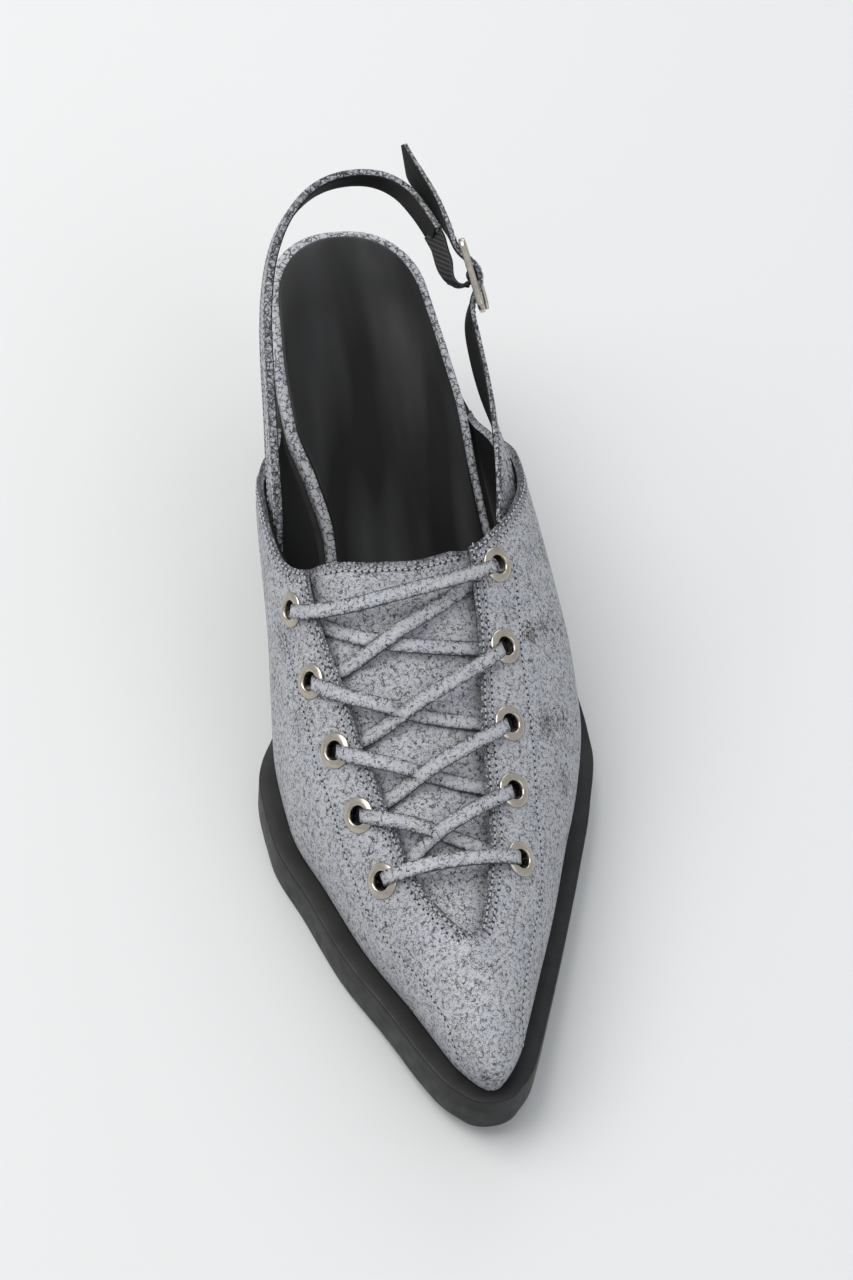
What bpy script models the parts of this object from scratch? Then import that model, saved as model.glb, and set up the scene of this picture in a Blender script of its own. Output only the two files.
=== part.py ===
# Lace up heel, left shoe: pointed lace-up vamp, open waist and heel, sling strap with a buckle.
# Stations are millimetres from the back of the heel towards the toe, x is millimetres to the
# outer (lateral) side, z is millimetres above the floor. The toe points to -Y in the scene.
import math

import bmesh
import bpy
import numpy as np
from mathutils import Matrix, Vector

MM = 0.001
BALL_STATION = 160.0  # mm, station of the forefoot's flat tread, where the origin lies
GAP = 0.3  # mm, between pieces that touch on the real shoe

# Construction sizes, mm
WALL = 2.0  # upper: leather and lining
SOCK = 1.2  # sock lining
LASTING = 2.6  # from the insole board's edge to the outside of the upper at the feather
SOLE_TIP = 261.0
UPPER_TIP = 257.5
BOARD_TIP = 254.0
SOCK_TIP = 250.0
SOCK_INSET = 2.8  # rim of the board that shows round the sock lining
HEEL_ROUND = 24.0  # stations over which the heel end is rounded
NOSE = 11.0  # stations over which the toe is rounded
BLUNTNESS = 2.3  # power of the rounded ends in plan, 2 for an ellipse
END_LAND = 0.02  # first and last section of a slab, in from its very end
LACE_WIDTH = 4.5
LACE_THICK = 1.1
LACE_BOW_TOP = 10.5  # how far the top bar bows towards the toe
LACE_BOW_BOTTOM = 2.0
TONGUE_LIFT = -3.9  # tongue's outer face, below the outside of the upper
TONGUE_THICK = 1.4
TONGUE_MARGIN = 0.10  # turns of the tongue that lie under each flap
TONGUE_END = 236.0
TONGUE_RISE = 1.2  # how far the middle of its top stands behind the topline
STRAP_WIDTH = 8.0
STRAP_THICK = 2.2
TAIL_THICK = 1.6

# Edge of the insole board in plan, before both ends are rounded
BOARD_PLAN = {
    "station": (0, 24, 45, 60, 75, 90, 105, 120, 135, 150, 170, 190, 210, 230, 245, 257.5),
    "medial": (-20.0, -21.2, -22.3, -21.6, -17.4, -14.6, -15.5, -21.4,
               -29.3, -33.6, -32.4, -26.0, -19.6, -10.6, -4.6, 0.6),
    "lateral": (24.4, 26.2, 29.0, 31.0, 31.8, 33.2, 36.3, 40.5,
                43.3, 43.5, 38.8, 31.6, 23.8, 15.6, 9.4, 4.4),
}

# Side view of the bottom: top and underside of the outsole, and the board's thickness
BOTTOM = {
    "station": (0, 28, 53, 78, 103, 118, 130, 142, 150, 188, 205, 228, 245, 261),
    "sole_top": (66.8, 62.2, 54.2, 42.7, 30.0, 22.6, 17.6, 14.2, 13.1, 13.0, 13.5, 15.0, 16.6, 18.6),
    "underside": (63.6, 58.8, 50.4, 38.0, 23.0, 12.8, 5.0, 0.6, 0.0, 0.0, 0.45, 1.9, 3.4, 5.3),
    "board": (4.5, 4.5, 4.5, 4.0, 3.0, 2.6, 2.5, 2.5, 2.5, 2.5, 2.5, 2.5, 2.5, 2.5),
}

# How far the outsole stands out past the upper, on each side
WELT = {
    "station": (104, 124, 134, 144, 156, 240, 258),
    "medial": (0.0, 0.8, 2.4, 4.6, 5.7, 6.1, 5.2),
    "lateral": (0.0, 3.0, 5.8, 6.6, 6.6, 6.2, 5.2),
}

# The last: widest points of each side, and the ridge along the top, before the toe is rounded
LAST = {
    "station": (45, 60, 75, 90, 105, 120, 135, 150, 170, 190, 210, 230, 245, 257.5),
    "medial": (-25.5, -27.0, -31.0, -34.5, -35.3, -35.6, -36.6, -37.6,
               -36.4, -30.0, -23.2, -14.2, -8.2, -2.8),
    "medial_z": (68, 66, 62, 58, 53, 44, 33, 26, 22, 21, 21.5, 22, 23, 23.5),
    "lateral": (32.0, 34.5, 37.8, 41.3, 44.2, 46.9, 48.6, 48.0,
                43.2, 35.6, 28.1, 19.6, 13.2, 8.0),
    "lateral_z": (68, 64, 57, 50, 43, 34, 26.5, 23, 21.5, 21, 21.5, 22, 23, 23.5),
    "ridge": (0, -2, -4, -5, -6, -6, -6, -5, -3, -1, 0, 1, 1.5, 1.8),
    "ridge_z": (134, 128, 120, 111, 101, 90.5, 81, 73, 63.5, 55.5, 49, 43, 37, 31),
}

# Where the topline crosses each turn. A turn is -2 at the medial feather, -1 at the medial
# widest point, 0 on the ridge, 1 at the lateral widest point and 2 at the lateral feather.
TOPLINE = {
    "turn": (-2, -1.5, -1, -0.87, -0.78, -0.67, -0.53, -0.27, -0.05,
             0.05, 0.27, 0.43, 0.53, 0.65, 0.75, 0.85, 1, 1.5, 2),
    "station": (57, 66, 80, 95, 108, 118.5, 125, 131.5, 133.8,
                133.8, 129, 120, 113, 104, 95, 84, 74, 64, 57),
}

# Edges of the lace opening, as turns
THROAT = {
    "station": (100, 129.5, 145, 160, 179, 199, 212, 220, 226),
    "medial": (-0.52, -0.47, -0.40, -0.34, -0.32, -0.31, -0.27, -0.16, 0.0),
    "lateral": (0.29, 0.28, 0.27, 0.25, 0.23, 0.23, 0.19, 0.12, 0.03),
}

# Eyelets, five a side
EYELETS = {
    "station": (131, 151.5, 171, 188, 205.5),
    "medial": (-0.62, -0.52, -0.465, -0.485, -0.52),
    "lateral": (0.38, 0.36, 0.355, 0.37, 0.42),
}
EYELET_RADIUS = 4.8
EYELET_BARREL = 3.0
EYELET_HOLE = 2.5
EYELET_PROUD = 0.95
EYELET_CUT = 3.45

# Centre line of the sling strap from inside the vamp round the heel; lean is in degrees
HEEL_STRAP = {
    "station": (105, 102, 98, 93, 88, 81, 70, 55, 40, 28, 17, 9.5, 9.0, 14.5, 22, 34),
    "x": (-30.9, -30.8, -30.5, -30.4, -30.4, -29.8, -29.0, -27.5,
          -24.6, -20.3, -13.0, -3.0, 7.0, 15.6, 19.7, 23.6),
    "z": (54.7, 59.5, 66, 72.5, 77.6, 82.6, 87.8, 92.5,
          96.7, 99.5, 101.2, 101.8, 102.4, 102.9, 102.4, 100.8),
    "lean": (5, 5, 6, 6, 7, 7, 8, 9, 12, 18, 24, 26, 24, 12, 1, -2),
}

# Elastic from the sling strap's end, bowed inwards, to the buckle's centre bar
ELASTIC = {
    "station": (36, 40.5, 45.4, 48.4, 48.4, 46.6),
    "x": (23.9, 24.4, 25.4, 26.4, 27.5, 28.5),
    "z": (100.2, 98.4, 97.0, 96.2, 95.8, 95.4),
    "lean": (-2, -2, 0, 8, 14, 16),
}

# Buckle: centre, direction along the strap towards the toe, and direction out of the shoe
BUCKLE_CENTRE = (32.1, 45.5, 96.0)  # x, station, z
BUCKLE_ALONG = (0.19, 0.78, -0.60)
BUCKLE_OUT = (0.94, -0.07, 0.33)
BUCKLE_LENGTH = 21.0
BUCKLE_WIDTH = 15.0
BUCKLE_BAR = 2.0
PRONG_LENGTH = 5.5

# Centre line of the buckle strap: the free tail, the way through the buckle, then to the vamp
TAIL = {
    "station": (8, 19, 27),
    "x": (18.2, 22.1, 25.1),
    "z": (108.6, 106.0, 104.4),
    "lean": (-5, -4, 0),
    "width": (8, 8, 8),
}
THROUGH_BUCKLE = {
    "along": (-13, -9, -6, -3.2, 0, 3.0, 5.4, 9, 13),
    "out": (-2.4, -2.4, -1.0, 1.4, 2.4, 1.4, -1.0, -3.2, -4.4),
}
WING = {
    "station": (62, 72, 84, 95, 104, 113),
    "x": (30.5, 31.1, 32.0, 32.6, 32.4, 31.4),
    "z": (84.8, 81.6, 78.6, 75.0, 71.5, 67.0),
    "lean": (-10, -7, 12, 27, 28, 28),
    "width": (8, 8.5, 9.5, 11, 13, 14),
}

# Heel block: outline at shares of its height, from the seat (0) to the top piece (1)
HEEL = {
    "share": (0, 0.08, 0.2, 0.4, 0.65, 1),
    "back": (1.2, 2.4, 4.6, 6.4, 7.2, 7.6),
    "breast": (49.0, 46.0, 42.5, 39.5, 38.0, 37.0),
    "medial": (-20.4, -18.6, -16.6, -14.6, -13.4, -12.6),
    "lateral": (26.0, 23.6, 21.2, 19.2, 18.0, 17.2),
}
TOP_PIECE = 6.0

# Colours and finishes: red, green, blue, roughness, metallic
FINISHES = {
    "crackle_leather": (0.55, 0.57, 0.64, 0.5, 0.0),
    "sole_black": (0.03, 0.03, 0.03, 0.5, 0.0),
    "sock_leather": (0.02, 0.02, 0.02, 0.45, 0.0),
    "elastic_black": (0.015, 0.015, 0.015, 0.8, 0.0),
    "nickel": (0.78, 0.75, 0.69, 0.3, 1.0),
}


def smooth(table, column, at, key="station"):
    """Monotone cubic through one column of a table, held flat past its ends."""
    xs = np.array(table[key], float)
    ys = np.array(table[column], float)
    steps = np.diff(xs)
    slopes = np.diff(ys) / steps
    tangents = np.empty_like(ys)
    tangents[0], tangents[-1] = slopes[0], slopes[-1]
    for i in range(1, len(xs) - 1):
        if slopes[i - 1] * slopes[i] <= 0:
            tangents[i] = 0
        else:
            first = 2 * steps[i] + steps[i - 1]
            second = steps[i] + 2 * steps[i - 1]
            tangents[i] = (first + second) / (first / slopes[i - 1] + second / slopes[i])
    at = min(max(at, xs[0]), xs[-1])
    i = min(int(np.searchsorted(xs, at, side="right")) - 1, len(xs) - 2)
    u = (at - xs[i]) / steps[i]
    return ((1 + 2 * u) * (1 - u) ** 2 * ys[i] + u * (1 - u) ** 2 * steps[i] * tangents[i]
            + u * u * (3 - 2 * u) * ys[i + 1] + u * u * (u - 1) * steps[i] * tangents[i + 1])


def ease(value, start, end):
    """0 before start, 1 after end, smooth between."""
    u = min(max((value - start) / (end - start), 0.0), 1.0)
    return u * u * (3 - 2 * u)


def rounding(station, start, tip):
    """Share of the width left where an end is rounded off, 1 before start and 0 at the tip."""
    u = min(max((station - start) / (tip - start), 0.0), 1.0)
    return (1 - u ** BLUNTNESS) ** (1 / BLUNTNESS)


def scene_point(x, station, z):
    return Vector((x * MM, (BALL_STATION - station) * MM, z * MM))


def make_material(name):
    red, green, blue, roughness, metallic = FINISHES[name]
    material = bpy.data.materials.new(name)
    material.use_nodes = True
    shader = material.node_tree.nodes["Principled BSDF"]
    shader.inputs["Base Color"].default_value = (red, green, blue, 1)
    shader.inputs["Roughness"].default_value = roughness
    shader.inputs["Metallic"].default_value = metallic
    return material


def add_object(name, mesh, finish, collection="lace_up_heel"):
    mesh.shade_smooth()
    mesh.set_sharp_from_angle(angle=math.radians(35))
    piece = bpy.data.objects.new(name, mesh)
    bpy.data.collections[collection].objects.link(piece)
    if finish:
        piece.data.materials.append(make_material(finish))
    return piece


def mesh_from(name, points, faces):
    """Mesh from points in the scene's metres; coincident points merged, faces turned outwards."""
    shape = bmesh.new()
    corners = [shape.verts.new(point) for point in points]
    for face in faces:
        shape.faces.new([corners[i] for i in face])
    bmesh.ops.remove_doubles(shape, verts=shape.verts, dist=0.00001)
    bmesh.ops.dissolve_degenerate(shape, edges=shape.edges, dist=0.000001)
    bmesh.ops.recalc_face_normals(shape, faces=shape.faces)
    mesh = bpy.data.meshes.new(name)
    shape.to_mesh(mesh)
    shape.free()
    return mesh


def loft(name, rings, finish):
    """Closed solid through rings of equally many points, with flat ends."""
    count = len(rings[0])
    points = [scene_point(*point) for ring in rings for point in ring]
    faces = []
    for row in range(len(rings) - 1):
        for i in range(count):
            j = (i + 1) % count
            faces.append((row * count + i, row * count + j, (row + 1) * count + j, (row + 1) * count + i))
    faces.append(tuple(range(count)))
    faces.append(tuple((len(rings) - 1) * count + i for i in range(count)))
    return add_object(name, mesh_from(name, points, faces), finish)


def crowded(start, end, count):
    """Stations from start to end, closer together towards each rounded end."""
    return [start + (end - start) * (1 - math.cos(math.pi * k / count)) / 2 for k in range(count + 1)]


def board_edge(side, station):
    return smooth(BOARD_PLAN, side, station)


def feather(side, station):
    """Outside of the upper at its lower edge, before the toe is rounded."""
    return board_edge(side, station) + (LASTING if side == "lateral" else -LASTING)


def sole_edge(side, station):
    reach = LASTING * ease(station, 46, 60) + smooth(WELT, side, station)
    return board_edge(side, station) + (reach if side == "lateral" else -reach)


def sock_edge(side, station):
    return board_edge(side, station) - (SOCK_INSET if side == "lateral" else -SOCK_INSET)


def slab(name, edge, under, over, start, tip, chamfer, finish, count):
    """Flat piece of the shoe's bottom: plan edges, lower and upper faces, rounded at both ends."""
    rings = []
    for station in crowded(start + END_LAND, tip - END_LAND, count):
        medial, lateral = edge("medial", station), edge("lateral", station)
        share = rounding(station, tip - NOSE, tip) * rounding(-station, -HEEL_ROUND - start, -start)
        middle = (medial + lateral) / 2
        half = (lateral - medial) / 2 * share
        low, high = under(station), over(station)
        cut = min(chamfer, half * 0.6)
        left, right = middle - half, middle + half
        rings.append([(left + cut, station, low), (left, station, low + cut),
                      (left, station, high - cut), (left + cut, station, high),
                      (right - cut, station, high), (right, station, high - cut),
                      (right, station, low + cut), (right - cut, station, low)])
    return loft(name, rings, finish)


def sole_top(station):
    return smooth(BOTTOM, "sole_top", station)


def underside(station):
    return smooth(BOTTOM, "underside", station)


def board_under(station):
    return sole_top(station) + GAP


def board_over(station):
    return board_under(station) + smooth(BOTTOM, "board", station)


def sock_under(station):
    return board_over(station) + GAP


def sock_over(station):
    return sock_under(station) + SOCK


def surface(turn, station, lift=0.0):
    """Point on the outside of the upper at a turn and station, lifted off along its normal."""
    if lift:
        step = 0.004
        here = np.array(surface(turn, station))
        around = np.array(surface(turn + step, station)) - np.array(surface(turn - step, station))
        along = np.array(surface(turn, station + 0.5)) - np.array(surface(turn, station - 0.5))
        normal = np.cross(around, along)
        normal /= np.linalg.norm(normal)
        return tuple(here + normal * lift)
    side = "medial" if turn < 0 else "lateral"
    nose = rounding(station, UPPER_TIP - NOSE, UPPER_TIP)
    ridge = smooth(LAST, "ridge", station)
    middle = (feather("medial", station) + feather("lateral", station)) / 2
    wide = middle + (smooth(LAST, side, station) - middle) * nose
    wide_z = smooth(LAST, side + "_z", station)
    top_z = wide_z + (smooth(LAST, "ridge_z", station) - wide_z) * nose
    top = middle + (ridge - middle) * nose
    if abs(turn) <= 1:
        angle = (1 - abs(turn)) * math.pi / 2
        power = 2 / (2.08 if side == "medial" else 1.94)
        return (top + (wide - top) * max(math.cos(angle), 0) ** power,
                station, wide_z + (top_z - wide_z) * math.sin(angle) ** power)
    low = middle + (feather(side, station) - middle) * nose
    low_z = sole_top(station) + GAP
    sweep = math.radians(75)
    angle = (abs(turn) - 1) * sweep
    inwards = (1 - math.cos(angle)) / (1 - math.cos(sweep))
    downwards = math.sin(angle) / math.sin(sweep)
    return (wide + (low - wide) * inwards, station, wide_z - (wide_z - low_z) * downwards)


def sheet(name, grid, thickness, finish):
    """Open surface given as rows of points, thickened inwards by Solidify."""
    columns = len(grid[0])
    points = [scene_point(*point) for row in grid for point in row]
    faces = [(r * columns + c, r * columns + c + 1, (r + 1) * columns + c + 1, (r + 1) * columns + c)
             for r in range(len(grid) - 1) for c in range(columns - 1)]
    mesh = mesh_from(name, points, faces)
    top = max(mesh.polygons, key=lambda face: face.center.z)
    if top.normal.z < 0:
        mesh.flip_normals()
    piece = add_object(name, mesh, finish)
    wall = piece.modifiers.new("wall", "SOLIDIFY")
    wall.thickness = thickness * MM
    wall.offset = -1
    wall.use_even_offset = True
    return piece


def cut(piece, cutter):
    boolean = piece.modifiers.new(cutter.name, "BOOLEAN")
    boolean.operation = "DIFFERENCE"
    boolean.object = cutter
    boolean.solver = "EXACT"


def cutter_object(name, mesh):
    cutter = add_object(name, mesh, None, "cutters")
    cutter.hide_render = True
    cutter.display_type = "WIRE"
    return cutter


def upper():
    turns = [-2 + k / 5 for k in range(5)]
    turns += [-1 + k / 11 for k in range(23)]
    turns += [1 + k / 5 for k in range(1, 6)]
    rows = 24
    grid = []
    for r in range(rows + 1):
        share = math.sin(math.pi / 2 * r / rows)
        grid.append([surface(turn, start + (UPPER_TIP - start) * share) for turn, start in
                     ((turn, smooth(TOPLINE, "station", turn, "turn")) for turn in turns)])
    piece = sheet("upper", grid, WALL, "crackle_leather")
    cut(piece, throat_cutter())
    cut(piece, eyelet_cutters())


def throat_cutter():
    stations = [100, 116, 129.5, 137, 145, 152, 160, 170, 179, 189, 199, 206, 212, 217, 221, 224, 226]
    outline = [surface(smooth(THROAT, "medial", t), t) for t in stations]
    outline += [surface(smooth(THROAT, "lateral", t), t) for t in reversed(stations)]
    low, high = 34.0, 140.0
    count = len(outline)
    points = [scene_point(x, t, low) for x, t, _ in outline]
    points += [scene_point(x, t, high) for x, t, _ in outline]
    faces = [(i, (i + 1) % count, (i + 1) % count + count, i + count) for i in range(count)]
    faces += [tuple(range(count)), tuple(range(count, 2 * count))]
    return cutter_object("throat_cutter", mesh_from("throat_cutter", points, faces))


def eyelet_seats():
    """Name and placing matrix of every eyelet, its own Z along the upper's normal."""
    seats = []
    for side in ("medial", "lateral"):
        for row in range(5):
            turn, station = EYELETS[side][row], EYELETS["station"][row]
            here = scene_point(*surface(turn, station))
            out = scene_point(*surface(turn, station, 1.0)) - here
            turned = out.to_track_quat("Z", "Y").to_matrix().to_4x4()
            seats.append((f"eyelet_{side}_{row + 1}", Matrix.Translation(here) @ turned))
    return seats


def eyelet_cutters():
    shape = bmesh.new()
    for _, seat in eyelet_seats():
        bmesh.ops.create_cone(shape, cap_ends=True, segments=12, radius1=EYELET_CUT * MM,
                              radius2=EYELET_CUT * MM, depth=8 * MM, matrix=seat)
    mesh = bpy.data.meshes.new("eyelet_cutters")
    shape.to_mesh(mesh)
    shape.free()
    return cutter_object("eyelet_cutters", mesh)


def eyelets():
    """Turned rings: a flange on the upper and a barrel through its wall."""
    profile = [(EYELET_RADIUS - 0.4, EYELET_PROUD), (EYELET_RADIUS, GAP + 0.1), (EYELET_BARREL, GAP),
               (EYELET_BARREL, -WALL), (EYELET_HOLE, -WALL), (EYELET_HOLE, EYELET_PROUD - 0.2)]
    for name, seat in eyelet_seats():
        mesh = bpy.data.meshes.new(name)
        points = [(radius * MM, 0, height * MM) for radius, height in profile]
        mesh.from_pydata(points, [(i, (i + 1) % len(points)) for i in range(len(points))], [])
        ring = add_object(name, mesh, "nickel")
        turn = ring.modifiers.new("turn", "SCREW")
        turn.steps = 14
        turn.render_steps = 14
        turn.use_merge_vertices = True
        turn.merge_threshold = 0.00001
        ring.matrix_world = seat


def tongue():
    grid = []
    for row in range(15):
        line = []
        for k in range(11):
            station = 128.0 + (TONGUE_END - 128.0) * row / 14
            left = smooth(THROAT, "medial", min(station, 219)) - TONGUE_MARGIN
            right = smooth(THROAT, "lateral", min(station, 219)) + TONGUE_MARGIN
            turn = left + (right - left) * k / 10
            top = smooth(TOPLINE, "station", turn, "turn") - TONGUE_RISE * math.sin(math.pi * k / 10)
            station = top + (TONGUE_END - top) * row / 14
            line.append(surface(turn, station, TONGUE_LIFT))
        grid.append(line)
    sheet("tongue", grid, TONGUE_THICK, "crackle_leather")


def band_rings(points, across, widths, thickness):
    """Rectangular sections along a path; across gives each section's width direction."""
    points = [np.array(point, float) for point in points]
    rings = []
    for i, point in enumerate(points):
        along = points[min(i + 1, len(points) - 1)] - points[max(i - 1, 0)]
        along /= np.linalg.norm(along)
        side = np.array(across[i], float)
        side -= along * side.dot(along)
        side /= np.linalg.norm(side)
        out = np.cross(along, side)
        half, deep = widths[i] / 2, thickness / 2
        rings.append([tuple(point + side * a * half + out * b * deep)
                      for a, b in ((1, 1), (-1, 1), (-1, -1), (1, -1))])
    return rings


def resample(table, count):
    """Points evenly along a table's path, with every column read by a smooth curve."""
    names = [name for name in table]
    rows = np.array([table[name] for name in names], float)
    place = rows[[names.index("x"), names.index("station"), names.index("z")]]
    travel = np.concatenate([[0], np.cumsum(np.linalg.norm(np.diff(place, axis=1), axis=0))])
    path = {"travel": tuple(travel)}
    path.update({name: tuple(row) for name, row in zip(names, rows)})
    return [{name: smooth(path, name, travel[-1] * k / count, "travel") for name in names}
            for k in range(count + 1)]


def leaning(path, index):
    """Width direction of a strap whose top leans to the right of its way by its lean."""
    before, after = path[max(index - 1, 0)], path[min(index + 1, len(path) - 1)]
    way = Vector((after["x"] - before["x"], after["station"] - before["station"])).normalized()
    angle = math.radians(path[index]["lean"])
    return (-way.y * math.sin(angle), way.x * math.sin(angle), math.cos(angle))


def strap(name, table, count, width, thickness, finish):
    path = resample(table, count)
    rings = band_rings([(p["x"], p["station"], p["z"]) for p in path],
                       [leaning(path, i) for i in range(len(path))], [width] * len(path), thickness)
    return loft(name, rings, finish)


def buckle_frame_axes():
    """Unit vectors of the buckle in (x, station, z): along the strap, out, and across it."""
    along = np.array(BUCKLE_ALONG) / np.linalg.norm(BUCKLE_ALONG)
    out = np.array(BUCKLE_OUT, float)
    out -= along * out.dot(along)
    out /= np.linalg.norm(out)
    return along, out, np.cross(along, out)


def buckle_strap():
    along, out, across = buckle_frame_axes()
    centre = np.array(BUCKLE_CENTRE)
    up = across if across[2] > 0 else -across
    rows = {"x": [], "station": [], "z": [], "lean_x": [], "lean_s": [], "lean_z": [], "width": []}

    def add(point, direction, width):
        for name, value in zip(rows, (*point, *direction, width)):
            rows[name].append(value)

    def add_table(table):
        path = [{name: table[name][i] for name in table} for i in range(len(table["station"]))]
        for i, place in enumerate(path):
            add((place["x"], place["station"], place["z"]), leaning(path, i), place["width"])

    add_table(TAIL)
    for a, b in zip(THROUGH_BUCKLE["along"], THROUGH_BUCKLE["out"]):
        add(centre + along * a + out * b, up, STRAP_WIDTH)
    add_table(WING)
    path = resample(rows, 54)
    rings = band_rings([(p["x"], p["station"], p["z"]) for p in path],
                       [(p["lean_x"], p["lean_s"], p["lean_z"]) for p in path],
                       [p["width"] for p in path], TAIL_THICK)
    loft("buckle_strap", rings, "crackle_leather")


def buckle():
    """Flat metal frame with a centre bar, and the prong lying on the strap."""
    along, out, across = (Vector((v[0], -v[1], v[2])) for v in buckle_frame_axes())
    x, station, z = BUCKLE_CENTRE
    axes = Matrix((along, across, along.cross(across))).transposed().to_4x4()
    seat = Matrix.Translation(scene_point(x, station, z)) @ axes
    shape = bmesh.new()
    bmesh.ops.create_cube(shape, size=1.0)
    bmesh.ops.scale(shape, verts=shape.verts, vec=(BUCKLE_LENGTH * MM, BUCKLE_WIDTH * MM, BUCKLE_BAR * MM))
    upright = [edge for edge in shape.edges if abs(edge.verts[0].co.z - edge.verts[1].co.z) > 0.001]
    bmesh.ops.bevel(shape, geom=upright, offset=2.2 * MM, segments=3, affect="EDGES", profile=0.5)
    mesh = bpy.data.meshes.new("buckle_frame")
    shape.to_mesh(mesh)
    shape.free()
    frame = add_object("buckle_frame", mesh, "nickel")
    frame.matrix_world = seat
    window = bmesh.new()
    length = (BUCKLE_LENGTH - 3 * BUCKLE_BAR) / 2
    for side in (-1, 1):
        place = Matrix.Translation((side * (length + BUCKLE_BAR) / 2 * MM, 0, 0))
        size = Matrix.Diagonal((length * MM, (BUCKLE_WIDTH - 2 * BUCKLE_BAR) * MM, 6 * MM, 1))
        bmesh.ops.create_cube(window, size=1.0, matrix=place @ size)
    window_mesh = bpy.data.meshes.new("buckle_windows")
    window.to_mesh(window_mesh)
    window.free()
    windows = cutter_object("buckle_windows", window_mesh)
    windows.matrix_world = seat
    cut(frame, windows)
    pin = bmesh.new()
    bmesh.ops.create_cone(pin, cap_ends=True, segments=8, radius1=0.6 * MM, radius2=0.6 * MM,
                          depth=PRONG_LENGTH * MM, matrix=Matrix.Rotation(math.pi / 2, 4, "Y"))
    pin_mesh = bpy.data.meshes.new("buckle_prong")
    pin.to_mesh(pin_mesh)
    pin.free()
    prong = add_object("buckle_prong", pin_mesh, "nickel")
    upwards = axes.to_3x3() @ Vector((0, 0, 1))
    real_out = Vector((out[0], out[1], out[2]))
    side = 1 if upwards.dot(real_out) > 0 else -1
    reach = (BUCKLE_LENGTH - PRONG_LENGTH) / 2
    prong.matrix_world = seat @ Matrix.Translation((reach * MM, 0, side * (BUCKLE_BAR / 2 + 1.0) * MM))


def lace_run(start, end, lift, count=18):
    """Rings of a flat lace between two (turn, station) ends; lift(turn, station) is its height.
    A taut lace takes the short way over the form, so its middle bows towards the toe."""
    middle = (start[1] + end[1]) / 2
    bow = LACE_BOW_TOP + (LACE_BOW_BOTTOM - LACE_BOW_TOP) * (middle - 131) / 75
    points = []
    for k in range(count + 1):
        u = k / count
        turn = start[0] + (end[0] - start[0]) * u
        station = start[1] + (end[1] - start[1]) * u + bow * 4 * u * (1 - u)
        points.append((turn, station, lift(turn, station)))
    path = [np.array(surface(*point)) for point in points]
    across = []
    for i, (turn, station, height) in enumerate(points):
        along = path[min(i + 1, count)] - path[max(i - 1, 0)]
        normal = np.array(surface(turn, station, height + 1.0)) - path[i]
        across.append(np.cross(along, normal))
    return band_rings(path, across, [LACE_WIDTH] * len(path), LACE_THICK)


def opening_share(turn, station):
    """0 at the medial flap's edge and 1 at the lateral one."""
    left, right = smooth(THROAT, "medial", station), smooth(THROAT, "lateral", station)
    return (turn - left) / (right - left)


OVER = EYELET_PROUD + GAP + LACE_THICK / 2  # centre of a lace that lies on an eyelet
UNDER = -WALL - GAP - LACE_THICK / 2 - 0.1  # centre of a lace that lies under a flap


def laces():
    def eyelet(side, row):
        return (EYELETS[side][row], EYELETS["station"][row])

    def flat(turn, station):
        return OVER

    for name, row in (("lace_bar_top", 0), ("lace_bar_bottom", 4)):
        loft(name, lace_run(eyelet("medial", row), eyelet("lateral", row), flat), "crackle_leather")
    for row in range(4):
        first = row == 0

        def from_medial(turn, station):
            share = opening_share(turn, station)
            if first:
                return UNDER + 1.0 * ease(share, 0.1, 0.35) * ease(-share, -0.9, -0.65)
            return OVER + (UNDER - OVER) * ease(share, 0.06, 0.88)

        def from_lateral(turn, station):
            share = opening_share(turn, station)
            if first:
                return UNDER + 2.0 * ease(share, 0.1, 0.4) * ease(-share, -0.9, -0.6)
            return UNDER + (OVER - UNDER) * ease(share, 0.12, 0.94)

        name = f"lace_cross_{row + 1}"
        low = loft(name, lace_run(eyelet("medial", row), eyelet("lateral", row + 1), from_medial),
                   "crackle_leather")
        high_rings = lace_run(eyelet("lateral", row), eyelet("medial", row + 1), from_lateral)
        high = loft(name + "_over", high_rings, "crackle_leather")
        union(low, high)


def union(piece, other):
    """Joins another object into a piece and leaves the other out of the model."""
    bpy.data.collections["lace_up_heel"].objects.unlink(other)
    bpy.data.collections["cutters"].objects.link(other)
    other.hide_render = True
    other.display_type = "WIRE"
    joined = piece.modifiers.new("joined", "BOOLEAN")
    joined.operation = "UNION"
    joined.object = other
    joined.solver = "EXACT"


def heel_ring(share, height):
    """Outline of the heel at a share of its height; height(station) gives each point's z."""
    back, breast = smooth(HEEL, "back", share, "share"), smooth(HEEL, "breast", share, "share")
    medial, lateral = smooth(HEEL, "medial", share, "share"), smooth(HEEL, "lateral", share, "share")
    middle, centre = (medial + lateral) / 2, back + (lateral - medial) / 2
    points = []
    for k in range(28):
        angle = 2 * math.pi * k / 28
        across, along = math.cos(angle), math.sin(angle)
        if along < 0:
            x = middle + (lateral - medial) / 2 * across
            station = centre + (centre - back) * along
        else:
            x = middle + (lateral - medial) / 2 * math.copysign(abs(across) ** 0.3, across)
            station = centre + (breast - centre) * along ** 0.3
        points.append((x, station, height(station)))
    return points


def heel():
    rings = []
    for share in (0, 0.04, 0.1, 0.2, 0.35, 0.55, 0.8, 1):
        rings.append(heel_ring(share, lambda station, s=share: (1 - s) * (underside(station) - GAP)
                               + s * (TOP_PIECE + GAP)))
    loft("heel_block", rings, "sole_black")
    loft("heel_top_piece", [heel_ring(1, lambda station: TOP_PIECE), heel_ring(1, lambda station: 0.0)],
         "sole_black")


def start_scene():
    for old in list(bpy.data.objects):
        bpy.data.objects.remove(old, do_unlink=True)
    for name in ("lace_up_heel", "cutters"):
        bpy.context.scene.collection.children.link(bpy.data.collections.new(name))


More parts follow.
